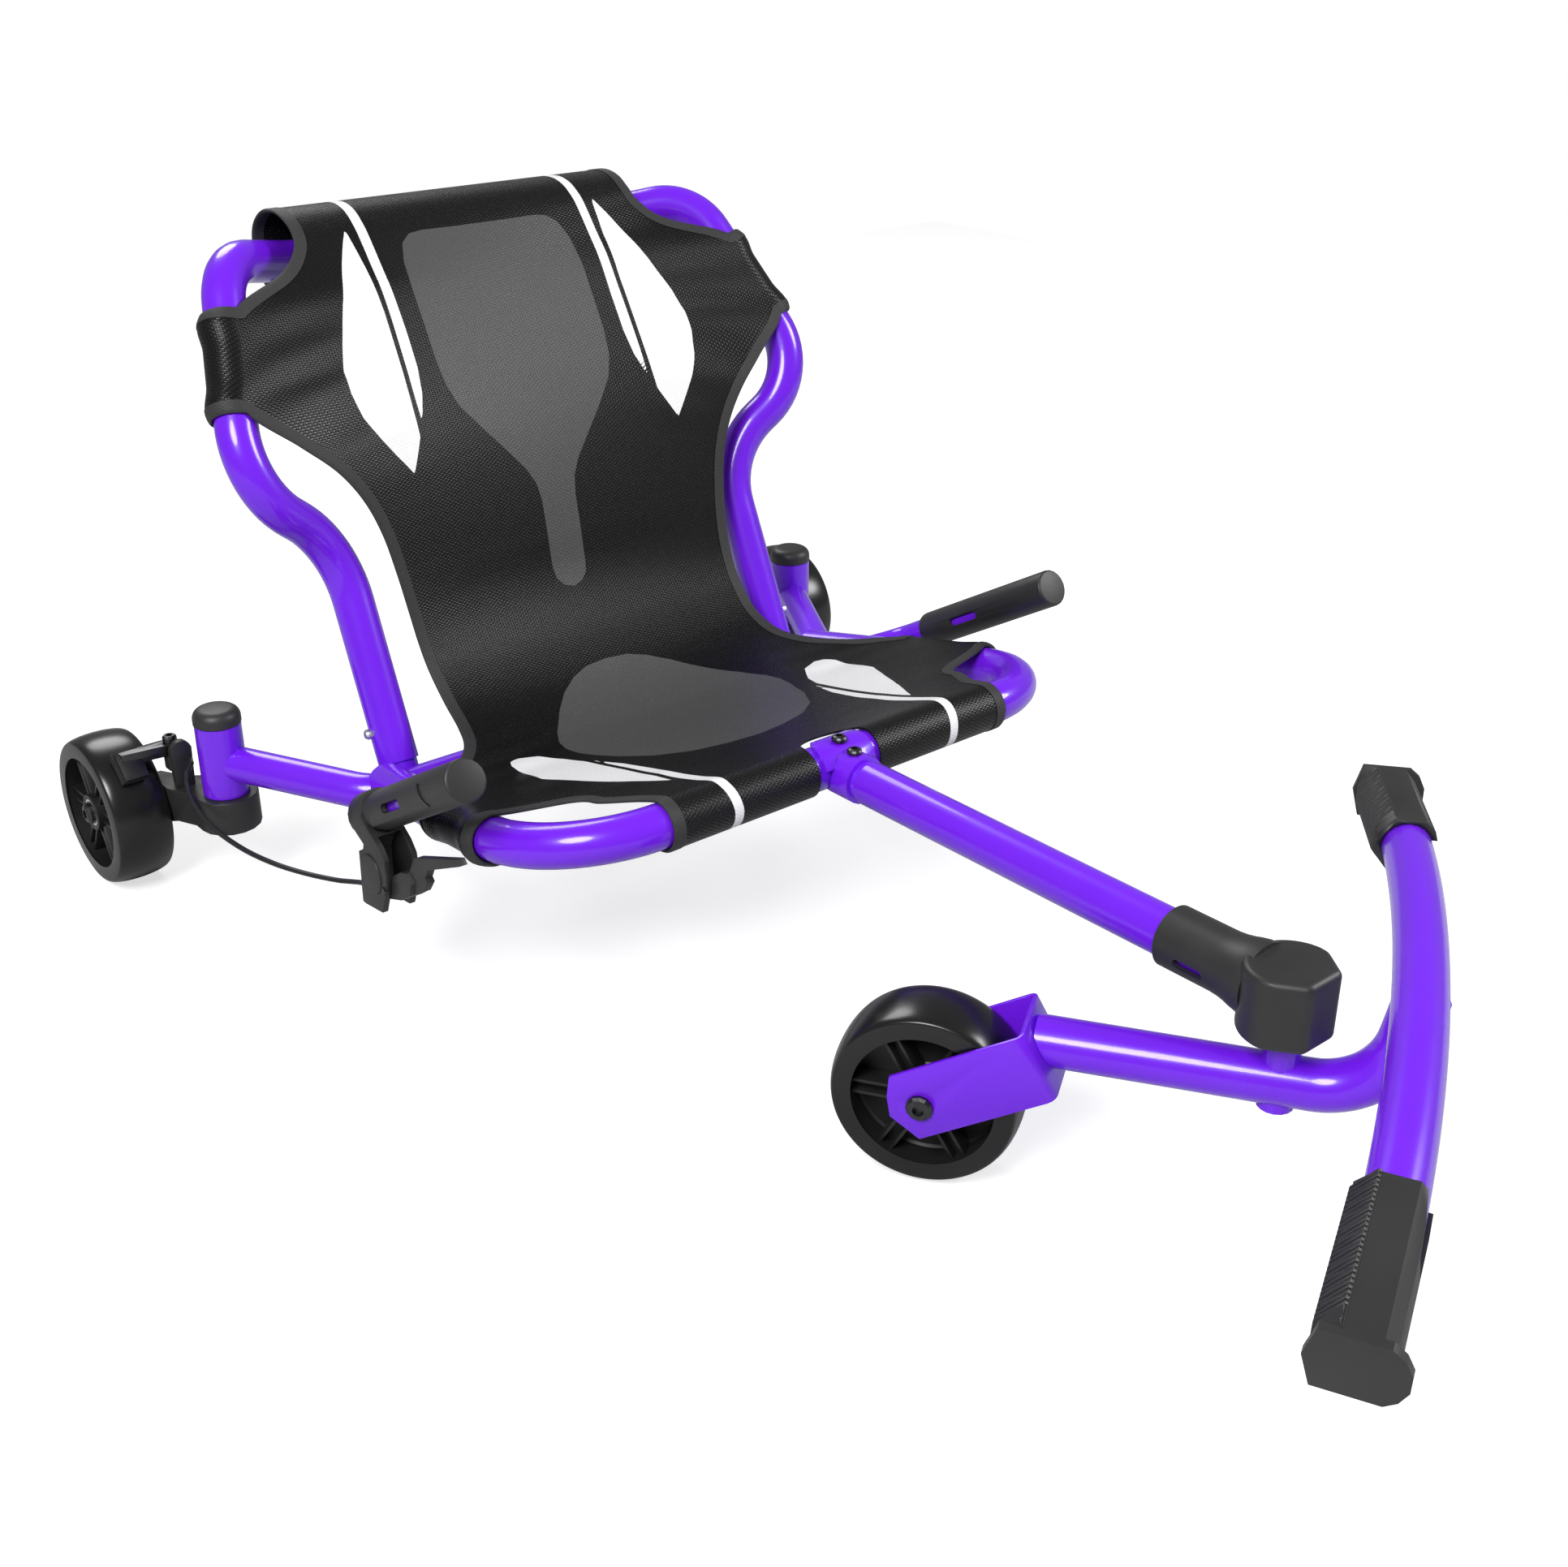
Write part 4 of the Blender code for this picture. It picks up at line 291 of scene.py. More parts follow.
@dataclass(frozen=True)
class Finish:
    """A finish whose colour, roughness and relief follow a fine pattern.

    Args:
        slot: The record's slot that it fills.
        name: Material name.
        colour: Main colour.
        rough: Lower and upper end of the roughness.
        scale: Grains per metre, or the width of a strand.
        relief: Depth of the relief, or 0 for none.
        strength: Share of the relief that shows.
        dark: Share of the colour that is left in the dark places: a random tint on grain finishes, and painted
            shade between the strands of a weave.
        deep: Colour of the dark places, in place of that share.
        spread: Pattern values where the dark ends and the full colour begins.
        pattern: The pattern's key in PATTERNS.
        colour_by: The pattern's output that the colour follows.
        rough_by: The pattern's output that the roughness follows.
        metallic: How far it is a metal; less shows brighter away from the lights.
        coat: Weight of the clear coat.
        specular: Strength of the reflections.
        inks: Colours of the print's masks, in the order of INKS.
    """

    slot: str
    name: str
    colour: Colour
    rough: tuple[float, float]
    scale: float
    relief: float = 0.00005
    strength: float = 0.6
    dark: float = 0.84
    deep: Optional[Colour] = None
    spread: tuple[float, float] = (0.3, 0.62)
    pattern: str = "grain"
    colour_by: str = "Tint"
    rough_by: str = "Tint"
    metallic: float = 0.0
    coat: float = 0.0
    specular: float = 0.5
    inks: tuple[Colour, ...] = ()
    material: bpy.types.Material = field(init=False)

    def __post_init__(self) -> None:
        """Make the material."""
        shade = Shade(self.name)
        shade.set(metallic=self.metallic, coat_weight=self.coat, specular_ior_level=self.specular)
        if self.coat:
            shade.set(coat_roughness=0.06)
        pattern = shade.pattern(self.pattern, self.scale).outputs
        # The colour runs from the deep colour to the main one along the pattern: a random tint on grain
        # finishes, and painted shade in the low places between strands on woven finishes.
        deep = self.deep or faded(self.colour, self.dark)
        colour = shade.ramp(pattern[self.colour_by], deep, self.colour, self.spread)
        for name, ink in zip(INKS, self.inks):
            mask = shade.tree.nodes.new("ShaderNodeAttribute")
            mask.attribute_name = name
            mix = shade.tree.nodes.new("ShaderNodeMix")
            mix.data_type = "RGBA"
            edge = math_node(shade.tree, "GREATER_THAN", mask.outputs["Fac"], 0.5)
            # Each ink follows the same pattern, so on the weave it gets the same painted shade in the low
            # places.
            printed = shade.ramp(pattern[self.colour_by], faded(ink, 0.84), ink, (0.1, 0.6))
            for socket, value in (("Factor", edge), ("A", colour), ("B", printed)):
                put(shade.tree, mix.inputs[socket], value)
            colour = mix.outputs["Result"]
        low, high = self.rough
        rough = add_node(shade.tree, "MapRange", to_min=low, to_max=high, value=pattern[self.rough_by])
        shade.set(base_color=colour, roughness=rough.outputs[0])
        if self.relief:
            bump = add_node(shade.tree, "Bump", distance=self.relief, strength=self.strength,
                            height=pattern["Height"])
            shade.set(normal=bump.outputs[0])
        object.__setattr__(self, "material", shade.material)


METAL = {"scale": 1500.0, "relief": 0.00002, "strength": 0.5, "dark": 0.8, "spread": (0.3, 0.6),
         "rough_by": "Height"}
# Woven finishes take their colour from the weave's height: the low places between strands get painted shade,
# and the raised strands keep the full colour.
WOVEN = {"pattern": "weave", "colour_by": "Height", "rough_by": "Strand"}
PAINT = Finish("violet_paint", "violet gloss paint", (0.158, 0.011, 0.760), (0.22, 0.30), 60.0, 0.0,
               deep=(0.150, 0.010, 0.730), spread=(0.1, 0.9), coat=0.45, specular=0.35)
PLASTIC = Finish("charcoal_plastic", "charcoal satin plastic", (0.0205, 0.0205, 0.0210), (0.42, 0.52), 2600.0)
WHEEL_PLASTIC = Finish("wheel_plastic", "wheel plastic", (0.0115, 0.0115, 0.0115), (0.40, 0.52), 3200.0)
TREAD = Finish("tread_rubber", "cast tread", (0.0065, 0.0065, 0.0068), (0.22, 0.30), 900.0, 0.00001)
PAD_RUBBER = Finish("tread_rubber", "brake pad rubber", (0.014, 0.014, 0.014), (0.6, 0.75), 1800.0)
CABLE_SHEATH = Finish("cable_sheath", "cable sheath", (0.016, 0.016, 0.017), (0.28, 0.36), 1200.0, 0.00002)
STEEL = Finish("bright_steel", "zinc plated steel", (0.74, 0.74, 0.75), (0.27, 0.43), metallic=1.0, **METAL)
BEARING_STEEL = Finish("bright_steel", "ground bearing steel", (0.80, 0.80, 0.81), (0.23, 0.39), metallic=0.60,
                       **METAL)
DARK_STEEL = Finish("dark_steel", "black bolt steel", (0.085, 0.085, 0.088), (0.27, 0.43), metallic=1.0,
                    **METAL)
PANEL_GREY, PALE = (0.078, 0.078, 0.078), (0.86, 0.86, 0.87)
# The cloth's near-black deep colour is painted shade in the weave's low places between strands.
CLOTH = Finish("woven_fabric", "black woven cloth", (0.0085, 0.0085, 0.0090), (0.27, 0.40), 0.0014, 0.00014,
               1.0, deep=(0.0004, 0.0004, 0.0004), spread=(0.45, 0.98), specular=0.24,
               inks=(PANEL_GREY, PALE, PALE), **WOVEN)
# The tape keeps 0.45 of its colour in the weave's low places, as painted shade.
TAPE = Finish("woven_fabric", "binding tape", (0.026, 0.026, 0.027), (0.55, 0.68), 0.0011, 0.0002, 0.8, 0.45,
              spread=(0.1, 0.7), **WOVEN)

SLOT_FINISH: dict[str, Finish] = {finish.slot: finish for finish in (
    PAINT, PLASTIC, WHEEL_PLASTIC, TREAD, STEEL, DARK_STEEL, CLOTH, CABLE_SHEATH)}


# Modelling helpers


def deselect() -> None:
    """Deselect every object."""
    for piece in bpy.context.selected_objects:
        piece.select_set(False)


def linked(name: str, data: bpy.types.ID) -> Piece:
    """New object in the scene for a mesh, curve, light or camera.

    Args:
        name: The object's name.
        data: What it shows.

    Returns:
        The object.
    """
    piece = bpy.data.objects.new(name, data)
    bpy.context.scene.collection.objects.link(piece)
    return piece


def primitive(operator: Callable, name: str, place: Vector = ORIGIN, **values) -> Piece:
    """Add a primitive mesh.

    Args:
        operator: The operator that adds it.
        name: The object's name.
        place: Where it is put.
        **values: The operator's settings.

    Returns:
        The object.
    """
    deselect()
    operator(location=place, **values)
    piece = bpy.context.active_object
    piece.name = name
    return piece


def activate(piece: Piece) -> None:
    """Make one object selected and active.

    Args:
        piece: The object.
    """
    deselect()
    piece.select_set(True)
    bpy.context.view_layer.objects.active = piece


@contextmanager
def editing(piece: Piece) -> Iterator[None]:
    """Edit mode with the whole mesh selected, for as long as a with block lasts.

    Args:
        piece: The mesh object.

    Returns:
        A context for a with statement.
    """
    activate(piece)
    bpy.ops.object.mode_set(mode="EDIT")
    bpy.ops.mesh.select_all(action="SELECT")
    yield
    bpy.ops.object.mode_set(mode="OBJECT")


def outward(piece: Piece) -> None:
    """Merge doubles and point every face outwards.

    Args:
        piece: The mesh object.
    """
    with editing(piece):
        bpy.ops.mesh.remove_doubles(threshold=0.000002)
        bpy.ops.mesh.normals_make_consistent(inside=False)


def smooth(piece: Piece, degrees: float) -> None:
    """Shade smooth, with edges sharper than an angle kept crisp."""
    activate(piece)
    bpy.ops.object.shade_smooth_by_angle(angle=math.radians(degrees))


def finish_piece(piece: Piece, body: Body, finish: Finish, *nodes: str,
                 crisp: float = 35.0) -> Piece:
    """Smooth and dress a piece, set it on its body and hide the solids that it stands for.

    Args:
        piece: The finished mesh.
        body: The body it rides on.
        finish: Its material and the record's slot.
        *nodes: Solids that it stands for.
        crisp: Edges sharper than this, in degrees, stay crisp.

    Returns:
        The same piece.
    """
    smooth(piece, crisp)
    piece.data.materials.clear()
    piece.data.materials.append(finish.material)
    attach(piece, body.value)
    if nodes:
        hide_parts(*nodes)
    return piece


def apply_modifier(piece: Piece, kind: str, **values) -> None:
    """Add a modifier with its settings and apply it.

    Args:
        piece: The mesh object.
        kind: The modifier's type.
        **values: Its settings.
    """
    activate(piece)
    modifier = piece.modifiers.new(kind.lower(), kind)
    for name, value in values.items():
        setattr(modifier, name, value)
    bpy.ops.object.modifier_apply(modifier=modifier.name)


def carve(piece: Piece, cutter: Piece) -> None:
    """Take a cutter's shape out of a piece and delete the cutter."""
    apply_modifier(piece, "BOOLEAN", operation="DIFFERENCE", solver="EXACT", object=cutter)
    bpy.data.objects.remove(cutter, do_unlink=True)


def cut_flat(piece: Piece, place: Vector, normal: Vector) -> None:
    """Cut away what lies behind a plane and close the cut.

    Args:
        piece: The mesh object.
        place: A point on the plane.
        normal: The way that the kept side lies.
    """
    with editing(piece):
        bpy.ops.mesh.bisect(plane_co=place, plane_no=normal, use_fill=True, clear_inner=True)


def axes(x: Sequence[float], y: Sequence[float], z: Sequence[float],
         origin: Sequence[float] = (0.0, 0.0, 0.0)) -> Matrix:
    """Transform from a local space to the one that its axes are given in.

    Args:
        x: Where the local x points.
        y: Where the local y points.
        z: Where the local z points.
        origin: The local origin.

    Returns:
        The matrix.
    """
    matrix = Matrix((x, y, z)).transposed().to_4x4()
    matrix.translation = origin
    return matrix


def mirrored(points: Points2D) -> list[tuple[float, float]]:
    """Points and, in reverse order, the same points with the second number turned round."""
    return [*points, *((first, -second) for first, second in reversed(points))]


def turned(name: str, profile: Points2D, axis: Axis, place: Vector = ORIGIN, steps: int = 64,
           matrix: Optional[Matrix] = None) -> Piece:
    """Turn a closed profile round an axis with Spin.

    Args:
        name: The piece's name.
        profile: (radius, place along the axis) points, as a closed loop.
        axis: The axis of the turned piece.
        place: Its origin.
        steps: Faces round.
        matrix: A further transform of the mesh.

    Returns:
        The mesh object at the world's origin.
    """
    piece = primitive(bpy.ops.mesh.primitive_circle_add, name, vertices=len(profile), fill_type="NOTHING")
    for vertex, (radius, height) in zip(piece.data.vertices, profile):
        vertex.co = (radius, 0.0, height)
    with editing(piece):
        bpy.ops.mesh.spin(steps=steps, angle=2.0 * math.pi, center=(0.0, 0.0, 0.0), axis=(0.0, 0.0, 1.0))
    outward(piece)
    turn = {Axis.Z: Matrix.Identity(4), Axis.X: Matrix.Rotation(math.pi / 2.0, 4, "Y"),
            Axis.Y: Matrix.Rotation(-math.pi / 2.0, 4, "X")}[axis]
    piece.data.transform(Matrix.Translation(place) @ turn)
    if matrix:
        piece.data.transform(matrix)
    return piece


def bent_path(corners: Sequence[Vector], radii: Sequence[float], steps: int = 14) -> list[Vector]:
    """Centre line through corners with rounded bends.

    Args:
        corners: The corner points.
        radii: Bend radius of each inner corner.
        steps: Points in a bend.

    Returns:
        The points of the line.
    """
    path = [corners[0]]
    for before, corner, after, radius in zip(corners, corners[1:], corners[2:], radii):
        inward = (before - corner).normalized()
        onward = (after - corner).normalized()
        half = inward.angle(onward) / 2.0
        start = corner + inward * (radius / math.tan(half))
        centre = corner + (inward + onward).normalized() * (radius / math.sin(half))
        spoke = start - centre
        turn_axis = spoke.cross(corner - start).normalized()
        sweep = math.pi - 2.0 * half
        path += [centre + Matrix.Rotation(sweep * step / steps, 3, turn_axis) @ spoke
                 for step in range(steps + 1)]
    path.append(corners[-1])
    return path


def on_side(point: Vector, side: float) -> Vector:
    """A left-hand point on the side given by 1 or -1."""
    return Vector((side * point.x, point.y, point.z))


def both_sides(points: Sequence[Vector]) -> list[Vector]:
    """Left-hand points and, in reverse order, their like on the right."""
    return [*points, *(on_side(point, -1.0) for point in reversed(points))]


def painted_bar(name: str, path: Sequence[Vector], radius: float, body: Body, *nodes: str,
                matrix: Optional[Matrix] = None) -> Piece:
    """Sweep a round painted bar along a path as a bevelled curve, then make it a mesh.

    Args:
        name: The piece's name.
        path: Centre line.
        radius: Outer radius.
        body: The body it rides on.
        *nodes: Solids that it stands for.
        matrix: Transform from the path's space to the world, in place of the shift by PIVOT.

    Returns:
        The mesh object at the world's origin.
    """
    curve = bpy.data.curves.new(name, "CURVE")
    curve.dimensions = "3D"
    curve.bevel_depth = radius
    curve.bevel_resolution = 8
    curve.use_fill_caps = True
    curve.twist_mode = "MINIMUM"
    line = curve.splines.new("POLY")
    line.points.add(len(path) - 1)
    for slot, spot in zip(line.points, path):
        slot.co = (*spot, 1.0)
    activate(linked(name, curve))
    bpy.ops.object.convert(target="MESH")
    piece = bpy.context.active_object
    piece.data.transform(matrix if matrix else Matrix.Translation(PIVOT))
    outward(piece)
    return finish_piece(piece, body, PAINT, *nodes, crisp=50.0)


def softened(node: str, width: float, body: Body, finish: Finish, segments: int = 2) -> Piece:
    """Copy of a solid with its sharp edges rounded, in place of it.

    Args:
        node: The solid's name.
        width: Width of the rounding.
        body: The body it rides on.
        finish: Its material and the record's slot.
        segments: Faces across a rounding.

    Returns:
        The new piece.
    """
    flat_angle, sharp_angle = 2.0, 32.0
    piece = linked(node + "_soft", frame["nodes"][node].data.copy())
    with editing(piece):
        bpy.ops.mesh.remove_doubles(threshold=0.00001)
        bpy.ops.mesh.dissolve_limited(angle_limit=math.radians(flat_angle))
        bpy.ops.mesh.customdata_custom_splitnormals_clear()
    apply_modifier(piece, "BEVEL", width=width, segments=segments, limit_method="ANGLE",
                   angle_limit=math.radians(sharp_angle), use_clamp_overlap=True, miter_outer="MITER_ARC")
    return finish_piece(piece, body, finish, node, crisp=40.0)


def plate(name: str, outline: Points2D, low: float, high: float, matrix: Matrix, width: float,
          segments: int = 1) -> Piece:
    """Flat piece from an outline, with its edges rounded.

    Args:
        name: The piece's name.
        outline: Corners in the local (x, y).
        low: Lower face's z.
        high: Upper face's z.
        matrix: Transform from the local space to the world.
        width: Width of the rounding.
        segments: Faces across a rounding.

    Returns:
        The mesh object at the world's origin.
    """
    piece = primitive(bpy.ops.mesh.primitive_circle_add, name, vertices=len(outline), fill_type="NGON")
    for vertex, (x, y) in zip(piece.data.vertices, outline):
        vertex.co = (x, y, low)
    apply_modifier(piece, "SOLIDIFY", thickness=high - low, offset=1.0)
    outward(piece)
    lowest = min(vertex.co.z for vertex in piece.data.vertices)
    piece.data.transform(Matrix.Translation((0.0, 0.0, low - lowest)))
    apply_modifier(piece, "BEVEL", width=width, segments=segments, limit_method="ANGLE",
                   angle_limit=math.radians(24.0), use_clamp_overlap=False)
    piece.data.transform(matrix)
    outward(piece)
    return piece


def joined(pieces: Sequence[Piece]) -> Piece:
    """Join objects into the first of them.

    Args:
        pieces: The objects.

    Returns:
        The first object.
    """
    deselect()
    for piece in pieces:
        piece.select_set(True)
    bpy.context.view_layer.objects.active = pieces[0]
    bpy.ops.object.join()
    return pieces[0]


def arc(centre: tuple[float, float], radius: float, start: float, end: float,
        steps: int) -> list[tuple[float, float]]:
    """Points on an arc.

    Args:
        centre: The arc's middle.
        radius: Its radius.
        start: First angle in degrees.
        end: Last angle in degrees.
        steps: Stretches of the arc.

    Returns:
        The points, with both ends.
    """
    angles = [math.radians(start + (end - start) * step / steps) for step in range(steps + 1)]
    return [(centre[0] + radius * math.cos(angle), centre[1] + radius * math.sin(angle)) for angle in angles]


def soft_piece(name: str, shape: bmesh.types.BMesh) -> Piece:
    """Object from a cloth's mesh that is measured from the steering axis.

    Args:
        name: The piece's name.
        shape: The mesh, which is freed.

    Returns:
        The mesh object at the world's origin.
    """
    mesh = bpy.data.meshes.new(name)
    shape.to_mesh(mesh)
    shape.free()
    piece = linked(name, mesh)
    piece.data.transform(Matrix.Translation(PIVOT))
    return piece


@dataclass(frozen=True)
class TubeRun:
    """A straight stretch of tube on the rider's left, that the cloth wraps round.

    Args:
        start: Its first end, from the steering axis.
        way: From the first end to the last.
        front: Unit vector from the tube's middle to the cloth's edge.
    """

    start: Vector
    way: Vector
    front: Vector

    @property
    def out(self) -> Vector:
        """Unit vector away from the seat, square to the tube and to the front."""
        square = self.way.normalized().cross(self.front)
        return square if square.x > 0.0 else -square

    def edge(self, axis: int, value: float, reach: float) -> tuple[float, float, float]:
        """Point over the tube, in front of it by a reach.

        Args:
            axis: 1 when the point's place is given by y and 2 by z.
            value: That y or z.
            reach: Distance from the tube's middle.

        Returns:
            The point.
        """
        share = (value - self.start[axis]) / self.way[axis]
        return tuple(self.start + self.way * share + self.front * reach)


BASE_REAR = Vector((0.2075, 0.652, 0.1137))
BASE_FRONT = Vector((0.2385, 0.386, 0.165))
BACK_FOOT = Vector((0.185, 0.6737, 0.1175))
BACK_KNEE = Vector((0.183, 0.741, 0.272))
ELBOW = Vector((0.260, 0.7215, 0.333))
SHOULDER = Vector((0.213, 0.817, 0.471))
BACK_TOP = Vector((0.134, 0.865, 0.454))


def base_rail() -> TubeRun:
    """Side rail of the seat base, which the cloth lies on.

    Returns:
        The rail on the rider's left.
    """
    length, slope = 0.266, -0.193
    way = Vector((BASE_REAR.x - BASE_FRONT.x, length, slope * length))
    along = way.normalized()
    return TubeRun(BASE_FRONT, way, (UP - along * along.z).normalized())


def back_climb() -> TubeRun:
    """Upper side of the seat back, between its elbow and its shoulder."""
    along = (SHOULDER - ELBOW).normalized()
    return TubeRun(ELBOW, SHOULDER - ELBOW, (along * along.y - BACK).normalized())


def foot_bar_point(along: float) -> Vector:
    """Centre of the foot bar at a distance to the side, in the steered space.

    Args:
        along: The distance, positive to the left.

    Returns:
        The point.
    """
    radius, tilt = 1.355, math.radians(45.0)
    sag = radius - math.sqrt(radius ** 2 - along ** 2)
    return Vector((along, -0.068 + sag * math.cos(tilt), 0.1804 - sag * math.sin(tilt)))


def handle_frame(side: float) -> Matrix:
    """Frame at a grip's end, from the steering axis.

    Args:
        side: 1 for the left handle and -1 for the right one.

    Returns:
        A matrix whose +Y runs back along the handle and +Z is its upper side.
    """
    rise = 0.495
    forward = Vector((side * 0.035, -math.sqrt(1.0 - rise ** 2), rise)).normalized()
    sideways = Vector((-forward.y, forward.x, 0.0)).normalized()
    return axes(sideways, -forward, sideways.cross(-forward), (side * 0.2664, 0.4313, 0.2176))


@dataclass
class Tubes:
    """The painted tubes of the frame and of the steered front."""

    head: Vector = field(default_factory=lambda: Vector((0.283, 0.769, 0.113)))
    head_radius: float = 0.0175
    head_bore: float = 0.0148
    head_bottom: float = 0.087
    head_top: float = 0.145
    chamfer: float = 0.0006
    back_radii: tuple[float, ...] = (0.075, 0.058, 0.047, 0.060)
    handle_radius: float = 0.011
    steered_height: float = 0.1045
    steered_bend: float = 0.048
    fork_tilt: float = math.radians(29.0)

    def build_beam(self) -> None:
        """Rear beam with its stubs, and the head tubes."""
        knee = Vector((0.216, 0.648, 0.108))
        painted_bar("rear_beam_fine", bent_path(both_sides([self.head, knee]), (0.040, 0.040)), STUB_RADIUS,
                    Body.FRAME, "rear_beam")
        lean = (BACK_KNEE - BACK_FOOT).normalized()
        for label, side in reversed(SIDES):
            foot, along = on_side(BACK_FOOT, side), on_side(lean, side)
            ends = [foot - along * 0.010, foot + along * 0.046]
            painted_bar("back_stub_" + label, ends, STUB_RADIUS, Body.FRAME)
        outer, low, high = self.head_radius, self.head_bottom, self.head_top
        profile = [(self.head_bore, high), (self.head_bore, low + 0.0005), (outer - self.chamfer, low),
                   (outer, low + self.chamfer), (outer, high - self.chamfer), (outer - self.chamfer, high)]
        for label, side in SIDES:
            place = PIVOT + Vector((side * self.head.x, self.head.y, 0.0))
            tube = turned("head_tube_fine_" + label, profile, Axis.Z, place)
            finish_piece(tube, Body.FRAME, PAINT, "head_tube_" + label)

    def build_seat_tubes(self) -> None:
        """Seat base loop, seat-back tube and boom."""
        base = bent_path(both_sides([BASE_REAR, BASE_FRONT]), (0.078, 0.078), 18)
        back = bent_path(both_sides([BACK_FOOT, BACK_KNEE, ELBOW, SHOULDER, BACK_TOP]),
                         self.back_radii + tuple(reversed(self.back_radii)))
        boom = [Vector((0.0, 0.0205, 0.162)), Vector((0.0, 0.3490, 0.162))]
        for name, path, node in (("seat_base_fine", base, "seat_base_loop"),
                                 ("seat_back_fine", back, "seat_back_tube"), ("boom_fine", boom, "boom_tube")):
            painted_bar(name, path, TUBE_RADIUS, Body.FRAME, node)

    def build_handles(self) -> None:
        """Bent handle tubes at both sides."""
        root_y, knee_y, end_y = 0.600, 0.187, 0.0080
        for label, side in SIDES:
            start, rail = on_side(BASE_FRONT, side), on_side(BASE_REAR - BASE_FRONT, side)
            root = start + rail * ((root_y - start.y) / rail.y)
            knee, end = (handle_frame(side) @ Vector((0.0, y, 0.0)) for y in (knee_y, end_y))
            painted_bar("handle_fine_" + label, bent_path([root, knee, end], (0.020,), 16), self.handle_radius,
                        Body.FRAME, "handle_tube_" + label)

    def build_front(self) -> None:
        """Steered tube, cut off at the fork bracket's web, and foot bar."""
        bend, start_y, rear_end, top = math.radians(80.0), -0.018, 0.140, 0.1734
        path = [Vector((0.0, rear_end, self.steered_height))]
        for step in range(21):
            angle = bend * step / 20
            path.append(Vector((0.0, start_y - self.steered_bend * math.sin(angle),
                                self.steered_height + self.steered_bend * (1.0 - math.cos(angle)))))
        rise = Vector((0.0, -math.cos(bend), math.sin(bend)))
        path.append(path[-1] + rise * ((top - path[-1].z) / rise.z))
        tube = painted_bar("front_tube_fine", path, TUBE_RADIUS, Body.STEERING, "front_tube",
                           matrix=Matrix.Identity(4))
        fork = Matrix.Translation(FRONT_AXLE) @ Matrix.Rotation(math.pi - self.fork_tilt, 4, "X")
        web_reach, web_wall, gap = 0.0785, 0.003, 0.0003
        cut_flat(tube, fork @ (BACK * (web_reach + web_wall + gap)), fork.to_3x3() @ BACK)
        tube.data.transform(STEERED)
        outward(tube)
        smooth(tube, 50.0)
        half_length = 0.2840
        line = [foot_bar_point(half_length * (step / 20.0 - 1.0)) for step in range(41)]
        painted_bar("foot_bar_fine", line, TUBE_RADIUS, Body.STEERING, "foot_bar", matrix=STEERED)

    def build(self) -> None:
        """Build every tube."""
        self.build_beam()
        self.build_seat_tubes()
        self.build_handles()
        self.build_front()


@dataclass(frozen=True)
class WheelPlace:
    """Where a wheel is.

    Args:
        name: The wheel's name.
        matrix: Its place, with the axle along X.
        body: The body it rides on.
        side: Which way its outer bearing faces along X.
    """

    name: str
    matrix: Matrix
    body: Body
    side: float


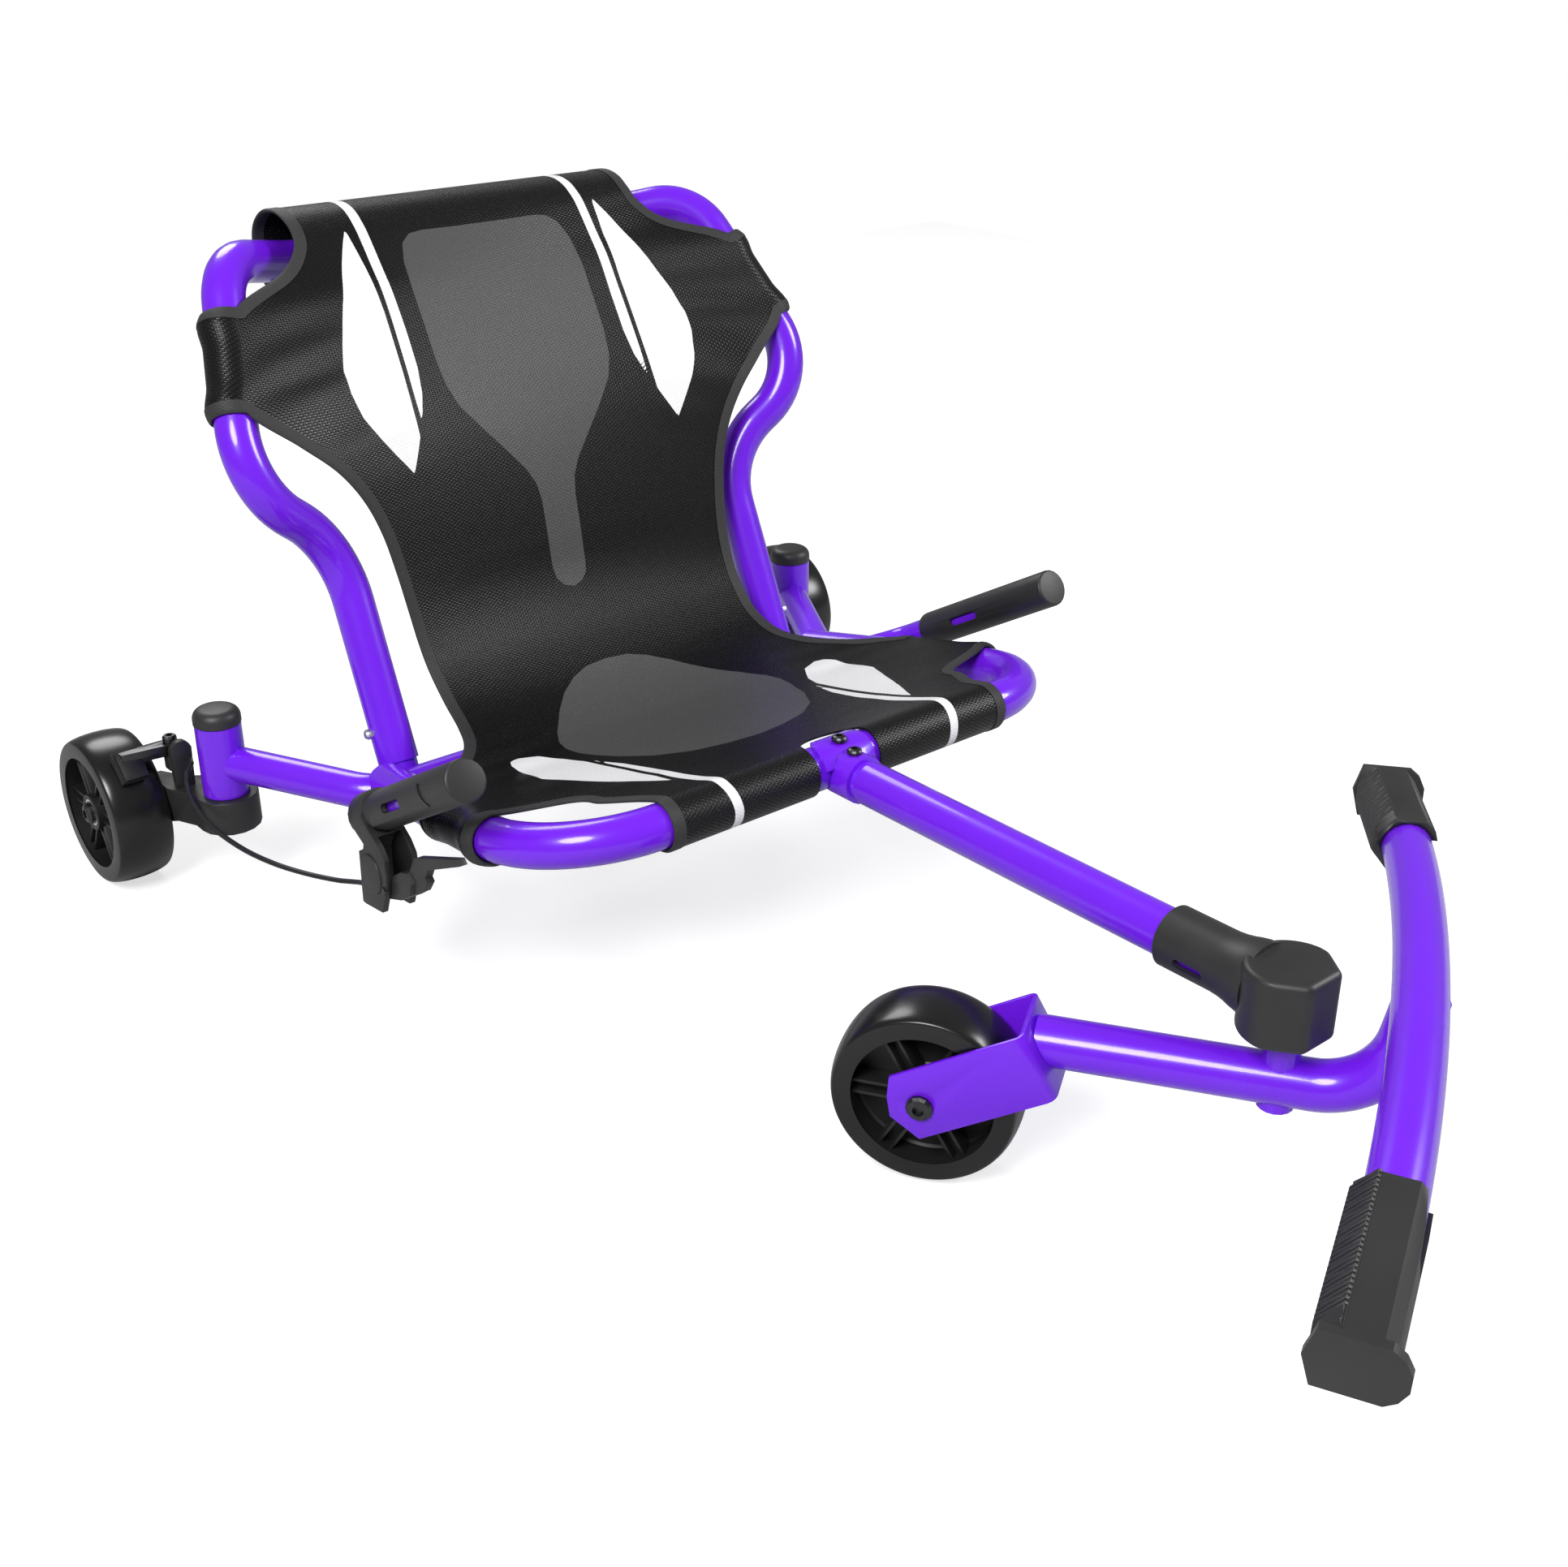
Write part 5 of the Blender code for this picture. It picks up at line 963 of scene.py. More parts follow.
@dataclass
class Wheels:
    """The three spoked wheels, each with a cast tread."""

    radius: float = 0.060
    width: float = 0.044
    crown: float = 0.0045
    rim_radius: float = 0.0491
    rim_wall: float = 0.003
    hub_radius: float = 0.0145
    hub_width: float = 0.041
    web: float = 0.003
    spokes: int = 6
    bearing_radius: float = 0.011
    bearing_bore: float = 0.0041
    bearing_width: float = 0.007
    seal_low: float = 0.0060
    seal_high: float = 0.0090
    edge: float = 0.0005

    def tread(self, wheel: WheelPlace) -> None:
        """Cast tread with a flat side and a round crown.

        Args:
            wheel: Where the wheel is.
        """
        half, side, steps = self.width / 2.0, self.radius - self.crown, 12
        bore, lip = self.rim_radius + 0.0003, self.rim_radius - 0.0046
        profile = [(bore, half - self.edge), (bore, self.edge - half), (lip, self.edge - half), (lip, -half),
                   (side - 0.0006, -half)]
        for step in range(steps + 1):
            angle = math.pi / 2.0 * step / steps
            profile.append((side + self.crown * math.sin(angle), (0.0002 - half) * math.cos(angle)))
        profile += [(radius, -height) for radius, height in reversed(profile[2:-1])]
        piece = turned(wheel.name + "_tread_fine", profile, Axis.X, ORIGIN, 112, wheel.matrix)
        finish_piece(piece, wheel.body, TREAD, wheel.name + "_tyre", crisp=40.0)

    def rim(self, wheel: WheelPlace) -> None:
        """Rim, web and hub in one turned piece, with channelled spokes on both faces.

        Args:
            wheel: Where the wheel is.
        """
        edge, fillet, round_edge, hub_radius = self.edge, 0.0015, 0.0006, self.hub_radius
        hub, web, inner = self.hub_width / 2.0, self.web / 2.0, self.rim_radius - self.rim_wall
        side, pocket = self.width / 2.0 - 0.0006, self.bearing_radius + 0.0001
        seat, shoulder = hub - self.bearing_width - 0.0003, 0.0022
        profile = [(self.rim_radius, side - edge), (self.rim_radius - edge, side), (inner + round_edge, side),
                   (inner, side - round_edge), (inner, web + fillet), (inner - fillet, web),
                   (hub_radius + fillet, web), (hub_radius, web + fillet), (hub_radius, hub - edge),
                   (hub_radius - edge, hub), (pocket, hub), (pocket, seat), (pocket - shoulder, seat)]
        parts = [turned(wheel.name + "_rim_fine", mirrored(profile), Axis.X, ORIGIN, 96)]
        low, high = hub_radius - 0.0012, inner + 0.0008
        base, flange = (0.0, 0.0100, 0.0095), 0.00415
        for index in range(self.spokes):
            turn = Matrix.Rotation(math.radians(360.0 / self.spokes * index + 30.0), 4, "X")
            for face in (1.0, -1.0):
                for across, width, reach in (base, (-flange, 0.0022, 0.0165), (flange, 0.0022, 0.0165)):
                    bar = primitive(bpy.ops.mesh.primitive_cube_add, "spoke", size=1.0)
                    bar.data.transform(Matrix.Diagonal((reach, width, high - low, 1.0)))
                    apply_modifier(bar, "BEVEL", width=0.0004, segments=2)
                    middle = (face * reach / 2.0, across, (high + low) / 2.0)
                    bar.data.transform(turn @ Matrix.Translation(middle))
                    parts.append(bar)
        piece = joined(parts)
        piece.data.transform(wheel.matrix)
        finish_piece(piece, wheel.body, WHEEL_PLASTIC, wheel.name + "_rim", crisp=40.0)

    def bearings(self, wheel: WheelPlace) -> None:
        """Bright rings of the two bearings, each with a dark seal between them.

        Args:
            wheel: Where the wheel is.
        """
        half, chamfer = self.hub_width / 2.0, 0.0003
        top, bottom = half - 0.0004, half - self.bearing_width
        seal_low, seal_high, seal_top = self.seal_low - 0.0001, self.seal_high + 0.0001, top - 0.0005
        for label, face in (("outer", wheel.side), ("inner", -wheel.side)):
            rings = []
            for inner, outer in ((self.bearing_bore, self.seal_low), (self.seal_high, self.bearing_radius)):
                profile = [(inner, face * bottom), (outer, face * bottom), (outer, face * (top - chamfer)),
                           (outer - chamfer, face * top), (inner + chamfer, face * top),
                           (inner, face * (top - chamfer))]
                rings.append(turned(f"{wheel.name}_bearing_{label}_fine", profile, Axis.X))
            piece = joined(rings)
            piece.data.transform(wheel.matrix)
            finish_piece(piece, wheel.body, BEARING_STEEL, f"{wheel.name}_bearing_{label}")
            profile = [(seal_low, face * bottom), (seal_high, face * bottom), (seal_high, face * seal_top),
                       (seal_low, face * seal_top)]
            seal = turned(f"{wheel.name}_seal_{label}", profile, Axis.X, matrix=wheel.matrix)
            finish_piece(seal, wheel.body, TREAD)

    def build(self) -> None:
        """The three wheels."""
        steered = Matrix.Translation(STEERED @ FRONT_AXLE) @ Matrix.Rotation(STEER_ANGLE, 4, "Z")
        wheels = [WheelPlace("front_wheel", steered, Body.FRONT_WHEEL, -1.0)]
        for (label, side), body in zip(SIDES, (Body.REAR_WHEEL_LEFT, Body.REAR_WHEEL_RIGHT)):
            place = Matrix.Translation(PIVOT + Vector((side * 0.3394, 0.855, AXLE_HEIGHT)))
            wheels.append(WheelPlace("rear_wheel_" + label, place, body, side))
        for wheel in wheels:
            self.tread(wheel)
            self.rim(wheel)
            self.bearings(wheel)


@dataclass
class Mouldings:
    """Moulded and pressed pieces; most are taken from the solids with their edges rounded."""

    head_low: float = 0.137
    head_high: float = 0.182
    head_half: float = 0.0278
    head_round: float = 0.0284
    nose_reach: float = 0.0235
    nose_half: float = 0.0142
    sleeve_radius: float = 0.0195
    sleeve_end: float = 0.084
    boom_z: float = 0.162
    slot_y: float = 0.0575
    slot_length: float = 0.021
    slot_width: float = 0.0062
    grip_radius: float = 0.0145
    window: tuple[float, float] = (0.0802, 0.1048)
    window_half: float = 0.0034
    rib_pitch: float = 0.0033
    rib_lean: float = 0.30
    through: tuple[float, float] = (0.006, 0.030)
    cap_profile: Points2D = (
        (0.0, 0.1453), (0.0178, 0.1453), (0.0180, 0.1455), (0.0180, 0.1500), (0.0178, 0.1515), (0.0171, 0.1533),
        (0.0160, 0.1549), (0.0145, 0.1561), (0.0128, 0.1569), (0.0108, 0.1573), (0.0, 0.1576))
    flare: Points2D = (
        (0.0235, 0.018), (0.0232, 0.0240), (0.0222, 0.0290), (0.0210, 0.0335), (0.0200, 0.0390))

    def cap(self, label: str, side: float) -> None:
        """Domed cap on a head tube.

        Args:
            label: left or right.
            side: 1 for left and -1 for right.
        """
        place = PIVOT + Vector((side * 0.283, 0.769, 0.0))
        piece = turned("head_cap_fine_" + label, self.cap_profile, Axis.Z, place)
        finish_piece(piece, Body.FRAME, PLASTIC, "head_cap_" + label, crisp=30.0)

    def pivot_head(self) -> None:
        """Pivot head: the block over the steering pin and the slotted sleeve on the boom."""
        wide, shoulder = self.head_half, -0.0045
        outline = [(-wide, shoulder), (-self.nose_half, -self.nose_reach), (self.nose_half, -self.nose_reach),
                   (wide, shoulder), *arc((0.0, 0.0), self.head_round, 3.0, 177.0, 28)]
        block = plate("pivot_head_fine", outline, self.head_low, self.head_high, Matrix.Identity(4), 0.0042, 5)
        inner, outer, end, chamfer = TUBE_RADIUS + 0.0003, self.sleeve_radius, self.sleeve_end, 0.0008
        profile = [(inner, self.flare[0][1]), *self.flare, (outer, 0.0450), (outer, end - chamfer),
                   (outer - chamfer, end), (inner, end)]
        sleeve = turned("pivot_sleeve", profile, Axis.Y, Vector((0.0, 0.0, self.boom_z)), 72)
        straight, width = self.slot_length - self.slot_width, self.slot_width
        half_round = arc((straight / 2.0, 0.0), width / 2.0, -90.0, 90.0, 10)
        slot = half_round + [(-y, -z) for y, z in half_round]
        stand = axes(BACK, -UP, (-1.0, 0.0, 0.0), (0.0, self.slot_y, self.boom_z - 0.004))
        carve(sleeve, plate("slot_cutter", slot, 0.008, 0.030, stand, 0.0001))
        piece = joined([block, sleeve])
        piece.data.transform(Matrix.Translation(PIVOT))
        finish_piece(piece, Body.FRAME, PLASTIC, "pivot_head", crisp=34.0)

    def foot_peg(self, label: str, side: float) -> None:
        """Foot peg with its fine slanted ribs on the rider's side.

        Args:
            label: left or right.
            side: 1 for left and -1 for right.
        """
        root, outer = foot_bar_point(side * 0.187), foot_bar_point(side * 0.285)
        along = (outer - root).normalized()
        back = (BACK - along * along.y).normalized()
        place = STEERED @ axes(along, back, along.cross(back), root)
        peg = softened("foot_peg_" + label, 0.0009, Body.STEERING, PLASTIC)
        cut_flat(peg, place @ Vector((-0.006, 0.0, 0.0)), place.to_3x3() @ Vector((1.0, 0.0, 0.0)))
        length = (outer - root).length
        tread = [(0.0075, 0.0182), (0.0096, 0.0190), (0.0209, 0.0064)]
        hollow = (0.0148, 0.0050)
        outline = [*mirrored(tread), (hollow[0], -hollow[1]), hollow]
        ribs = plate("peg_ribs_" + label, outline, 0.0050, 0.0066, Matrix.Identity(4), 0.0003)
        apply_modifier(ribs, "ARRAY", count=int((length - 0.010) / self.rib_pitch), use_relative_offset=False,
                       use_constant_offset=True, constant_offset_displace=(0.0, 0.0, self.rib_pitch))
        sunk = [(y - 0.0017 if y > 0.008 else y, z * 0.975) for y, z in outline]
        bed = plate("peg_bed", sunk, 0.0010, length + 0.0005, Matrix.Identity(4), 0.0002)
        # The local x runs back, y up and z along the bar; the ribs lean along the bar with height.
        for piece, lean in ((ribs, self.rib_lean), (bed, 0.0)):
            piece.data.transform(place @ axes(BACK, (lean, 0.0, 1.0), (1.0, 0.0, 0.0)))
        ribs = joined([ribs, bed])
        outward(ribs)
        finish_piece(ribs, Body.STEERING, PLASTIC, crisp=30.0)

    def grip_panel(self, label: str, side: float) -> None:
        """Raised panel round the window on a grip's outer side.

        Args:
            label: left or right.
            side: 1 for left and -1 for right.
        """
        panel = primitive(bpy.ops.mesh.primitive_grid_add, "grip_panel_" + label, x_subdivisions=40,
                          y_subdivisions=16, size=2.0)
        thick = 0.0014
        reach = self.grip_radius + thick / 2.0
        for vertex in panel.data.vertices:
            share, high = vertex.co.x / 2.0 + 0.5, vertex.co.y / 2.0 + 0.5
            front, rear = 0.0387 + 0.0061 * high, 0.1405 - 0.0213 * high
            angle = (-0.0091 + 0.0175 * high) / self.grip_radius
            vertex.co = (side * reach * math.cos(angle), front + (rear - front) * share,
                         reach * math.sin(angle))
        apply_modifier(panel, "SOLIDIFY", thickness=thick, offset=0.0)
        apply_modifier(panel, "BEVEL", width=0.0004, segments=2, limit_method="ANGLE",
                       angle_limit=math.radians(40.0))
        front, rear = self.window
        window = [*arc((rear, 0.0), self.window_half, -90.0, 90.0, 10),
                  *arc((front, 0.0), self.window_half, 90.0, 270.0, 10)]
        cutter = plate("window_cutter", window, *self.through, axes(BACK, UP, (side, 0.0, 0.0)), 0.0001)
        outward(panel)
        carve(panel, cutter)
        panel.data.transform(Matrix.Translation(PIVOT) @ handle_frame(side))
        outward(panel)
        finish_piece(panel, Body.FRAME, PLASTIC, crisp=35.0)

    def bracket_boss(self) -> None:
        """Raised round on the brake bracket's outer face."""
        # The local x runs back along the handle, y up and z outwards.
        stand = Matrix.Translation(PIVOT) @ handle_frame(-1.0) @ axes(BACK, UP, (-1.0, 0.0, 0.0))
        circle = arc((0.1625, -0.0393), 0.0146, 0.0, 360.0, 48)[:-1]
        boss = plate("bracket_boss", circle, 0.0140, 0.0162, stand, 0.0008, 3)
        finish_piece(boss, Body.FRAME, PLASTIC, crisp=40.0)

    def build(self) -> None:
        """Round the edges of each moulding."""
        for (label, side), caster in zip(SIDES, (Body.CASTER_LEFT, Body.CASTER_RIGHT)):
            softened("caster_arm_" + label, 0.0018, caster, PLASTIC, 3)
            self.cap(label, side)
            self.foot_peg(label, side)
            self.grip_panel(label, side)
        self.pivot_head()
        self.bracket_boss()
        for node, width, body, finish in (
                ("brake_bracket", 0.0009, Body.FRAME, PLASTIC), ("brake_lever", 0.0009, Body.LEVER, PLASTIC),
                ("brake_post", 0.0008, Body.CASTER_RIGHT, PLASTIC),
                ("brake_arm", 0.0006, Body.BRAKE_ARM, DARK_STEEL),
                ("fork_bracket", 0.0006, Body.STEERING, PAINT), ("boom_saddle", 0.0005, Body.FRAME, PAINT),
                ("grip_left", 0.0006, Body.FRAME, PLASTIC), ("grip_right", 0.0006, Body.FRAME, PLASTIC)):
            softened(node, width, body, finish)


@dataclass
class Sling:
    """Cloth seat on the base and the seat back, with its print and binding.

    Its control rows give (y, z) of the middle and (x, y, z) of the left edge, from the steering axis.
    """

    cloth: float = 0.0016
    half_top: float = 0.152
    wrap: float = TUBE_RADIUS + 0.0017
    columns: int = 168
    step: float = 0.0026
    wrap_turn: float = math.radians(200.0)
    wrap_steps: int = 24
    rail_rows: tuple[int, int] = (14, 17)
    climb_rows: tuple[int, int] = (30, 33)
    tape_step: float = 0.0028
    tape_over: float = 0.0006

    def rows(self) -> list[tuple[Vector, Vector]]:
        """Centre point and left edge point of each control row, in order from front to back.

        Returns:
            Pairs of points from the steering axis.
        """
        first_angle, turn = 205.0, 22.7
        rows = []
        for step in range(11):
            angle = math.radians(first_angle - turn * step)
            y, z = BASE_FRONT.y - self.wrap * math.sin(angle), BASE_FRONT.z + self.wrap * math.cos(angle)
            rows.append((y, z, (self.half_top, y, z)))
        rows += [(0.408, 0.175, (0.156, 0.408, 0.1765)), (0.43, 0.1675, (0.169, 0.43, 0.171)),
                 (0.448, 0.1625, (0.177, 0.448, 0.1675))]
        rail = base_rail()
        rows += [(y, z, rail.edge(1, edge_y, self.wrap)) for y, z, edge_y in (
            (0.464, 0.158, 0.464), (0.4925, 0.151, 0.4925), (0.521, 0.1445, 0.521),
            (0.548, 0.1392, 0.5495))]
        rows += [(0.575, 0.1358, (0.19, 0.578, 0.148)), (0.6, 0.135, (0.166, 0.606, 0.1475)),
                 (0.63, 0.139, (0.1545, 0.632, 0.15)), (0.656, 0.15, (0.1503, 0.6572, 0.161)),
                 (0.679, 0.17, (0.1499, 0.677, 0.18)), (0.6965, 0.194, (0.1503, 0.6885, 0.199)),
                 (0.708, 0.22, (0.1515, 0.697, 0.222)), (0.7135, 0.25, (0.1545, 0.7045, 0.251)),
                 (0.7195, 0.28, (0.1602, 0.7105, 0.282)), (0.727, 0.308, (0.1705, 0.7148, 0.309)),
                 (0.7355, 0.333, (0.187, 0.7185, 0.333)), (0.745, 0.356, (0.211, 0.7245, 0.355))]
        climb = back_climb()
        rows += [(y, z, climb.edge(2, edge_z, self.wrap)) for y, z, edge_z in (
            (0.754, 0.376, 0.374), (0.764, 0.396, 0.395), (0.7745, 0.416, 0.416),
            (0.785, 0.435, 0.436))]
        rows += [(0.7945, 0.451, (0.175, 0.8, 0.459)), (0.805, 0.466, (0.156, 0.813, 0.473))]
        rows += [(y, z, (self.half_top, edge_y, edge_z)) for y, z, edge_y, edge_z in (
            (0.8165, 0.48, 0.823, 0.484), (0.8325, 0.4915, 0.836, 0.492),
            (0.851, 0.495, 0.852, 0.495))]
        rows += [(y, z, (self.half_top, y, z)) for y, z in (
            (0.871, 0.4915), (0.886, 0.479), (0.8895, 0.462), (0.884, 0.444), (0.869, 0.4345),
            (0.849, 0.432))]
        return [(Vector((0.0, y, z)), Vector(edge)) for y, z, edge in rows]

    def surface(self) -> tuple[list[float], Callable[[float, float], Vector]]:
        """Smooth surface through the rows.

        Returns:
            The distance along the middle at each row, and a function from (distance, -1..1) to a point.
        """
        middles, edges = zip(*self.rows())
        places = [0.0]
        for first, second in zip(middles, middles[1:]):
            places.append(places[-1] + (second - first).length)

        def spline(points: Sequence[Vector], index: int, t: float) -> Vector:
            """Cardinal spline between two of a row of points.

            Args:
                points: The row.
                index: The first of the two.
                t: Share of the way to the second.

            Returns:
                The point.
            """
            before = points[max(index - 1, 0)]
            start, end = points[index], points[index + 1]
            after = points[min(index + 2, len(points) - 1)]
            return 0.5 * ((2.0 * start) + (end - before) * t
                          + (2.0 * before - 5.0 * start + 4.0 * end - after) * t * t
                          + (3.0 * start - before - 3.0 * end + after) * t ** 3)

        def point(distance: float, across: float) -> Vector:
            """Point of the cloth at a distance along it and a share of its half width.

            Args:
                distance: The distance.
                across: The share, from -1 to 1.

            Returns:
                The point.
            """
            index = 0
            while index < len(places) - 2 and places[index + 1] < distance:
                index += 1
            t = (distance - places[index]) / (places[index + 1] - places[index])
            middle, edge = spline(middles, index, t), spline(edges, index, t)
            blend = across * across
            return Vector((edge.x * across, middle.y + (edge.y - middle.y) * blend,
                           middle.z + (edge.z - middle.z) * blend))

        return places, point

    def lay(self, shape: bmesh.types.BMesh) -> dict:
        """Lay the cloth and its four side sleeves, one layer thick, with the print's masks.

        Args:
            shape: The mesh that gets them.

        Returns:
            The map's (across, along) of each vertex.
        """
        places, point = self.surface()
        sleeves = [(places[first], places[last], run) for (first, last), run in (
            (self.rail_rows, base_rail()), (self.climb_rows, back_climb()))]
        count = int(places[-1] / self.step)
        stops = [places[-1] * row / count for row in range(count + 1)]
        for first, last, _ in sleeves:
            for mark in (first, last):
                nearest = min(range(len(stops)), key=lambda index: abs(stops[index] - mark))
                stops[nearest] = mark
        inks = [shape.verts.layers.float.new(name) for name in INKS]
        grid, maps, figures = [], {}, Print()
        for distance in stops:
            line = []
            for column in range(self.columns + 1):
                across = 2.0 * column / self.columns - 1.0
                spot = point(distance, across) + self.creases(across, distance)
                vertex = shape.verts.new(spot)
                maps[vertex] = (spot.x, distance)
                for ink, mask in zip(inks, figures.masks(spot.x, distance)):
                    vertex[ink] = mask
                line.append(vertex)
            grid.append(line)
        for lower, upper in zip(grid, grid[1:]):
            for column in range(self.columns):
                shape.faces.new((lower[column], lower[column + 1], upper[column + 1], upper[column]))
        for first, last, run in sleeves:
            span = [index for index, distance in enumerate(stops) if first - 1e-6 <= distance <= last + 1e-6]
            edges = [point(stops[index], 1.0) for index in span]
            for side, column in ((1.0, self.columns), (-1.0, 0)):
                before = [grid[index][column] for index in span]
                for ring in range(1, self.wrap_steps + 1):
                    angle = self.wrap_turn * ring / self.wrap_steps
                    way = run.front * math.cos(angle) + run.out * math.sin(angle)
                    now = []
                    for index, edge in zip(span, edges):
                        vertex = shape.verts.new(on_side(edge - run.front * self.wrap + way * self.wrap, side))
                        maps[vertex] = (side * (edge.x + self.wrap * angle), stops[index])
                        now.append(vertex)
                    for index in range(len(now) - 1):
                        shape.faces.new((before[index], before[index + 1], now[index + 1], now[index]))
                    before = now
        return maps

    def build(self) -> None:
        """Lay the cloth, print it and add the binding."""
        shape = bmesh.new()
        uv = shape.loops.layers.uv.new("UVMap")
        maps = self.lay(shape)
        bmesh.ops.recalc_face_normals(shape, faces=shape.faces)
        for face in shape.faces:
            for loop in face.loops:
                loop[uv].uv = maps[loop.vert]
        bindings = self.bind(shape)
        piece = soft_piece("seat_cloth", shape)
        single = len(piece.data.vertices)
        apply_modifier(piece, "SOLIDIFY", thickness=self.cloth, offset=0.0)
        self.plain_back(piece, single)
        self.notch(piece)
        finish_piece(piece, Body.FRAME, CLOTH, "seat_sling", crisp=50.0)

    def plain_back(self, piece: Piece, single: int) -> None:
        """Take the print off the cloth's reverse.

        Args:
            piece: The cloth with its thickness.
            single: Vertices of one layer; the second layer follows the first.
        """
        seat_distance = 0.3
        vertices = piece.data.vertices
        probe = (self.columns + 1) * int(seat_distance / self.step) + self.columns // 2
        second_is_upper = vertices[probe + single].co.z > vertices[probe].co.z
        start = 0 if second_is_upper else single
        for name in INKS:
            values = piece.data.attributes[name].data
            for index in range(start, start + single):
                values[index].value = 0.0

    def creases(self, across: float, distance: float) -> Vector:
        """Slight drag lines where the cloth is pulled to the tubes.

        Args:
            across: Share of the half width.
            distance: Distance along the cloth.

        Returns:
            The shift of the point.
        """
        pull, reach, from_share, waves, slant, share = 0.0, 0.055, 0.55, 190.0, 5.0, 0.6
        for middle, depth in ((0.245, 0.0011 * 9.0), (0.600, 0.0012 * 9.0)):
            fade = math.exp(-((distance - middle) / reach) ** 2)
            fade *= max(0.0, abs(across) - from_share) * (1.0 - across * across)
            pull += depth * fade * math.sin((distance - middle) * waves + across * across * slant)
        return Vector((0.0, -pull * share, pull * share))

    def notch(self, piece: Piece) -> None:
        """Cut the opening round the saddle out of the front roll.

        Args:
            piece: The cloth with its thickness.
        """
        radius, length = 0.028, 0.035
        cutter = primitive(bpy.ops.mesh.primitive_cylinder_add, "notch_cutter",
                           PIVOT + Vector((0.0, 0.380, 0.170)), vertices=96, radius=radius, depth=0.08)
        for vertex in cutter.data.vertices:
            if vertex.co.y < 0.0:
                vertex.co.x = math.copysign(radius, vertex.co.x) if abs(vertex.co.x) > 1e-6 else 0.0
                vertex.co.y = min(vertex.co.y, -0.001) - length * (-vertex.co.y / radius)
        carve(piece, cutter)

    def bind(self, shape: bmesh.types.BMesh) -> list[Piece]:
        """Fold binding tape over every free edge of the cloth.

        Args:
            shape: The cloth before it gets its thickness.

        Returns:
            The runs of tape.
        """
        shape.normal_update()
        tree = BVHTree.FromBMesh(shape)
        edges = [edge for edge in shape.edges if edge.is_boundary]
        following: dict = {}
        for edge in edges:
            for vertex in edge.verts:
                following.setdefault(vertex, []).append(edge)
        unused = set(edges)
        runs: list[Piece] = []
        for edge in edges:
            if edge not in unused:
                continue
            unused.discard(edge)
            start, current = edge.verts
            loop, faces = [start, current], [edge.link_faces[0]]
            while True:
                after = [other for other in following[current] if other in unused]
                if not after:
                    break
                unused.discard(after[0])
                faces.append(after[0].link_faces[0])
                current = after[0].other_vert(current)
                if current is start:
                    break
                loop.append(current)
            runs.append(self.tape(f"binding_{len(runs)}", [vertex.co.copy() for vertex in loop],
                                  [vertex.normal.copy() for vertex in loop],
                                  [face.calc_center_median() for face in faces], tree))
        return runs

    def tape(self, name: str, points: list[Vector], normals: list[Vector], inside: list[Vector],
             tree: BVHTree) -> Piece:
        """One closed run of tape.

        Args:
            name: The piece's name.
            points: The cloth's edge.
            normals: The cloth's normals there.
            inside: A point of the cloth beside each stretch.
            tree: The cloth, that the tape lies along.

        Returns:
            The tape.
        """
        count = len(points)
        thick = self.cloth / 2.0 + 0.0005
        shape = bmesh.new()
        uv = shape.loops.layers.uv.new("UVMap")
        ways, rings, runs = [], [], [0.0]
        for index in range(count):
            along = (points[(index + 1) % count] - points[index - 1]).normalized()
            way = normals[index].cross(along).normalized()
            beside = inside[index % len(inside)] + inside[index - 1] - points[index] * 2.0
            ways.append(way if way.dot(beside) > 0.0 else -way)
        for index, (place, normal) in enumerate(zip(points, normals)):
            way = sum((ways[(index + shift) % count] for shift in range(-2, 3)), Vector()).normalized()
            inner = place + way * self.tape_over
            rim = [place - (inner - place) * 1.2 + normal * thick * lift for lift in (0.5, -0.5)]
            stops = [(inner, normal)]
            for _ in range(3):
                near, facing, *_ = tree.find_nearest(place + way * self.tape_step)
                way = (near - place).normalized()
                place = near
                normal = facing if facing.dot(normal) > 0.0 else -facing
                stops.append((place, normal))
            upper = [spot + facing * thick for spot, facing in reversed(stops)]
            lower = [spot - facing * thick for spot, facing in stops]
            rings.append([shape.verts.new(spot) for spot in (*upper, *rim, *lower)])
            runs.append(runs[-1] + (points[(index + 1) % count] - points[index]).length)
        size = len(rings[0])
        for index, one in enumerate(rings):
            two = rings[(index + 1) % count]
            for side in range(size):
                after = (side + 1) % size
                face = shape.faces.new((one[side], one[after], two[after], two[side]))
                corners = ((index, side), (index, side + 1), (index + 1, side + 1), (index + 1, side))
                for loop, (ring, step) in zip(face.loops, corners):
                    loop[uv].uv = (runs[ring], step * 0.0025)
        bmesh.ops.recalc_face_normals(shape, faces=shape.faces)
        piece = soft_piece(name, shape)
        return finish_piece(piece, Body.FRAME, TAPE, crisp=60.0)


def tenths(*numbers: int) -> list[tuple[float, float]]:
    """Points in metres from pairs of numbers in tenths of a millimetre."""
    return [(x / 10000, v / 10000) for x, v in zip(numbers[::2], numbers[1::2])]


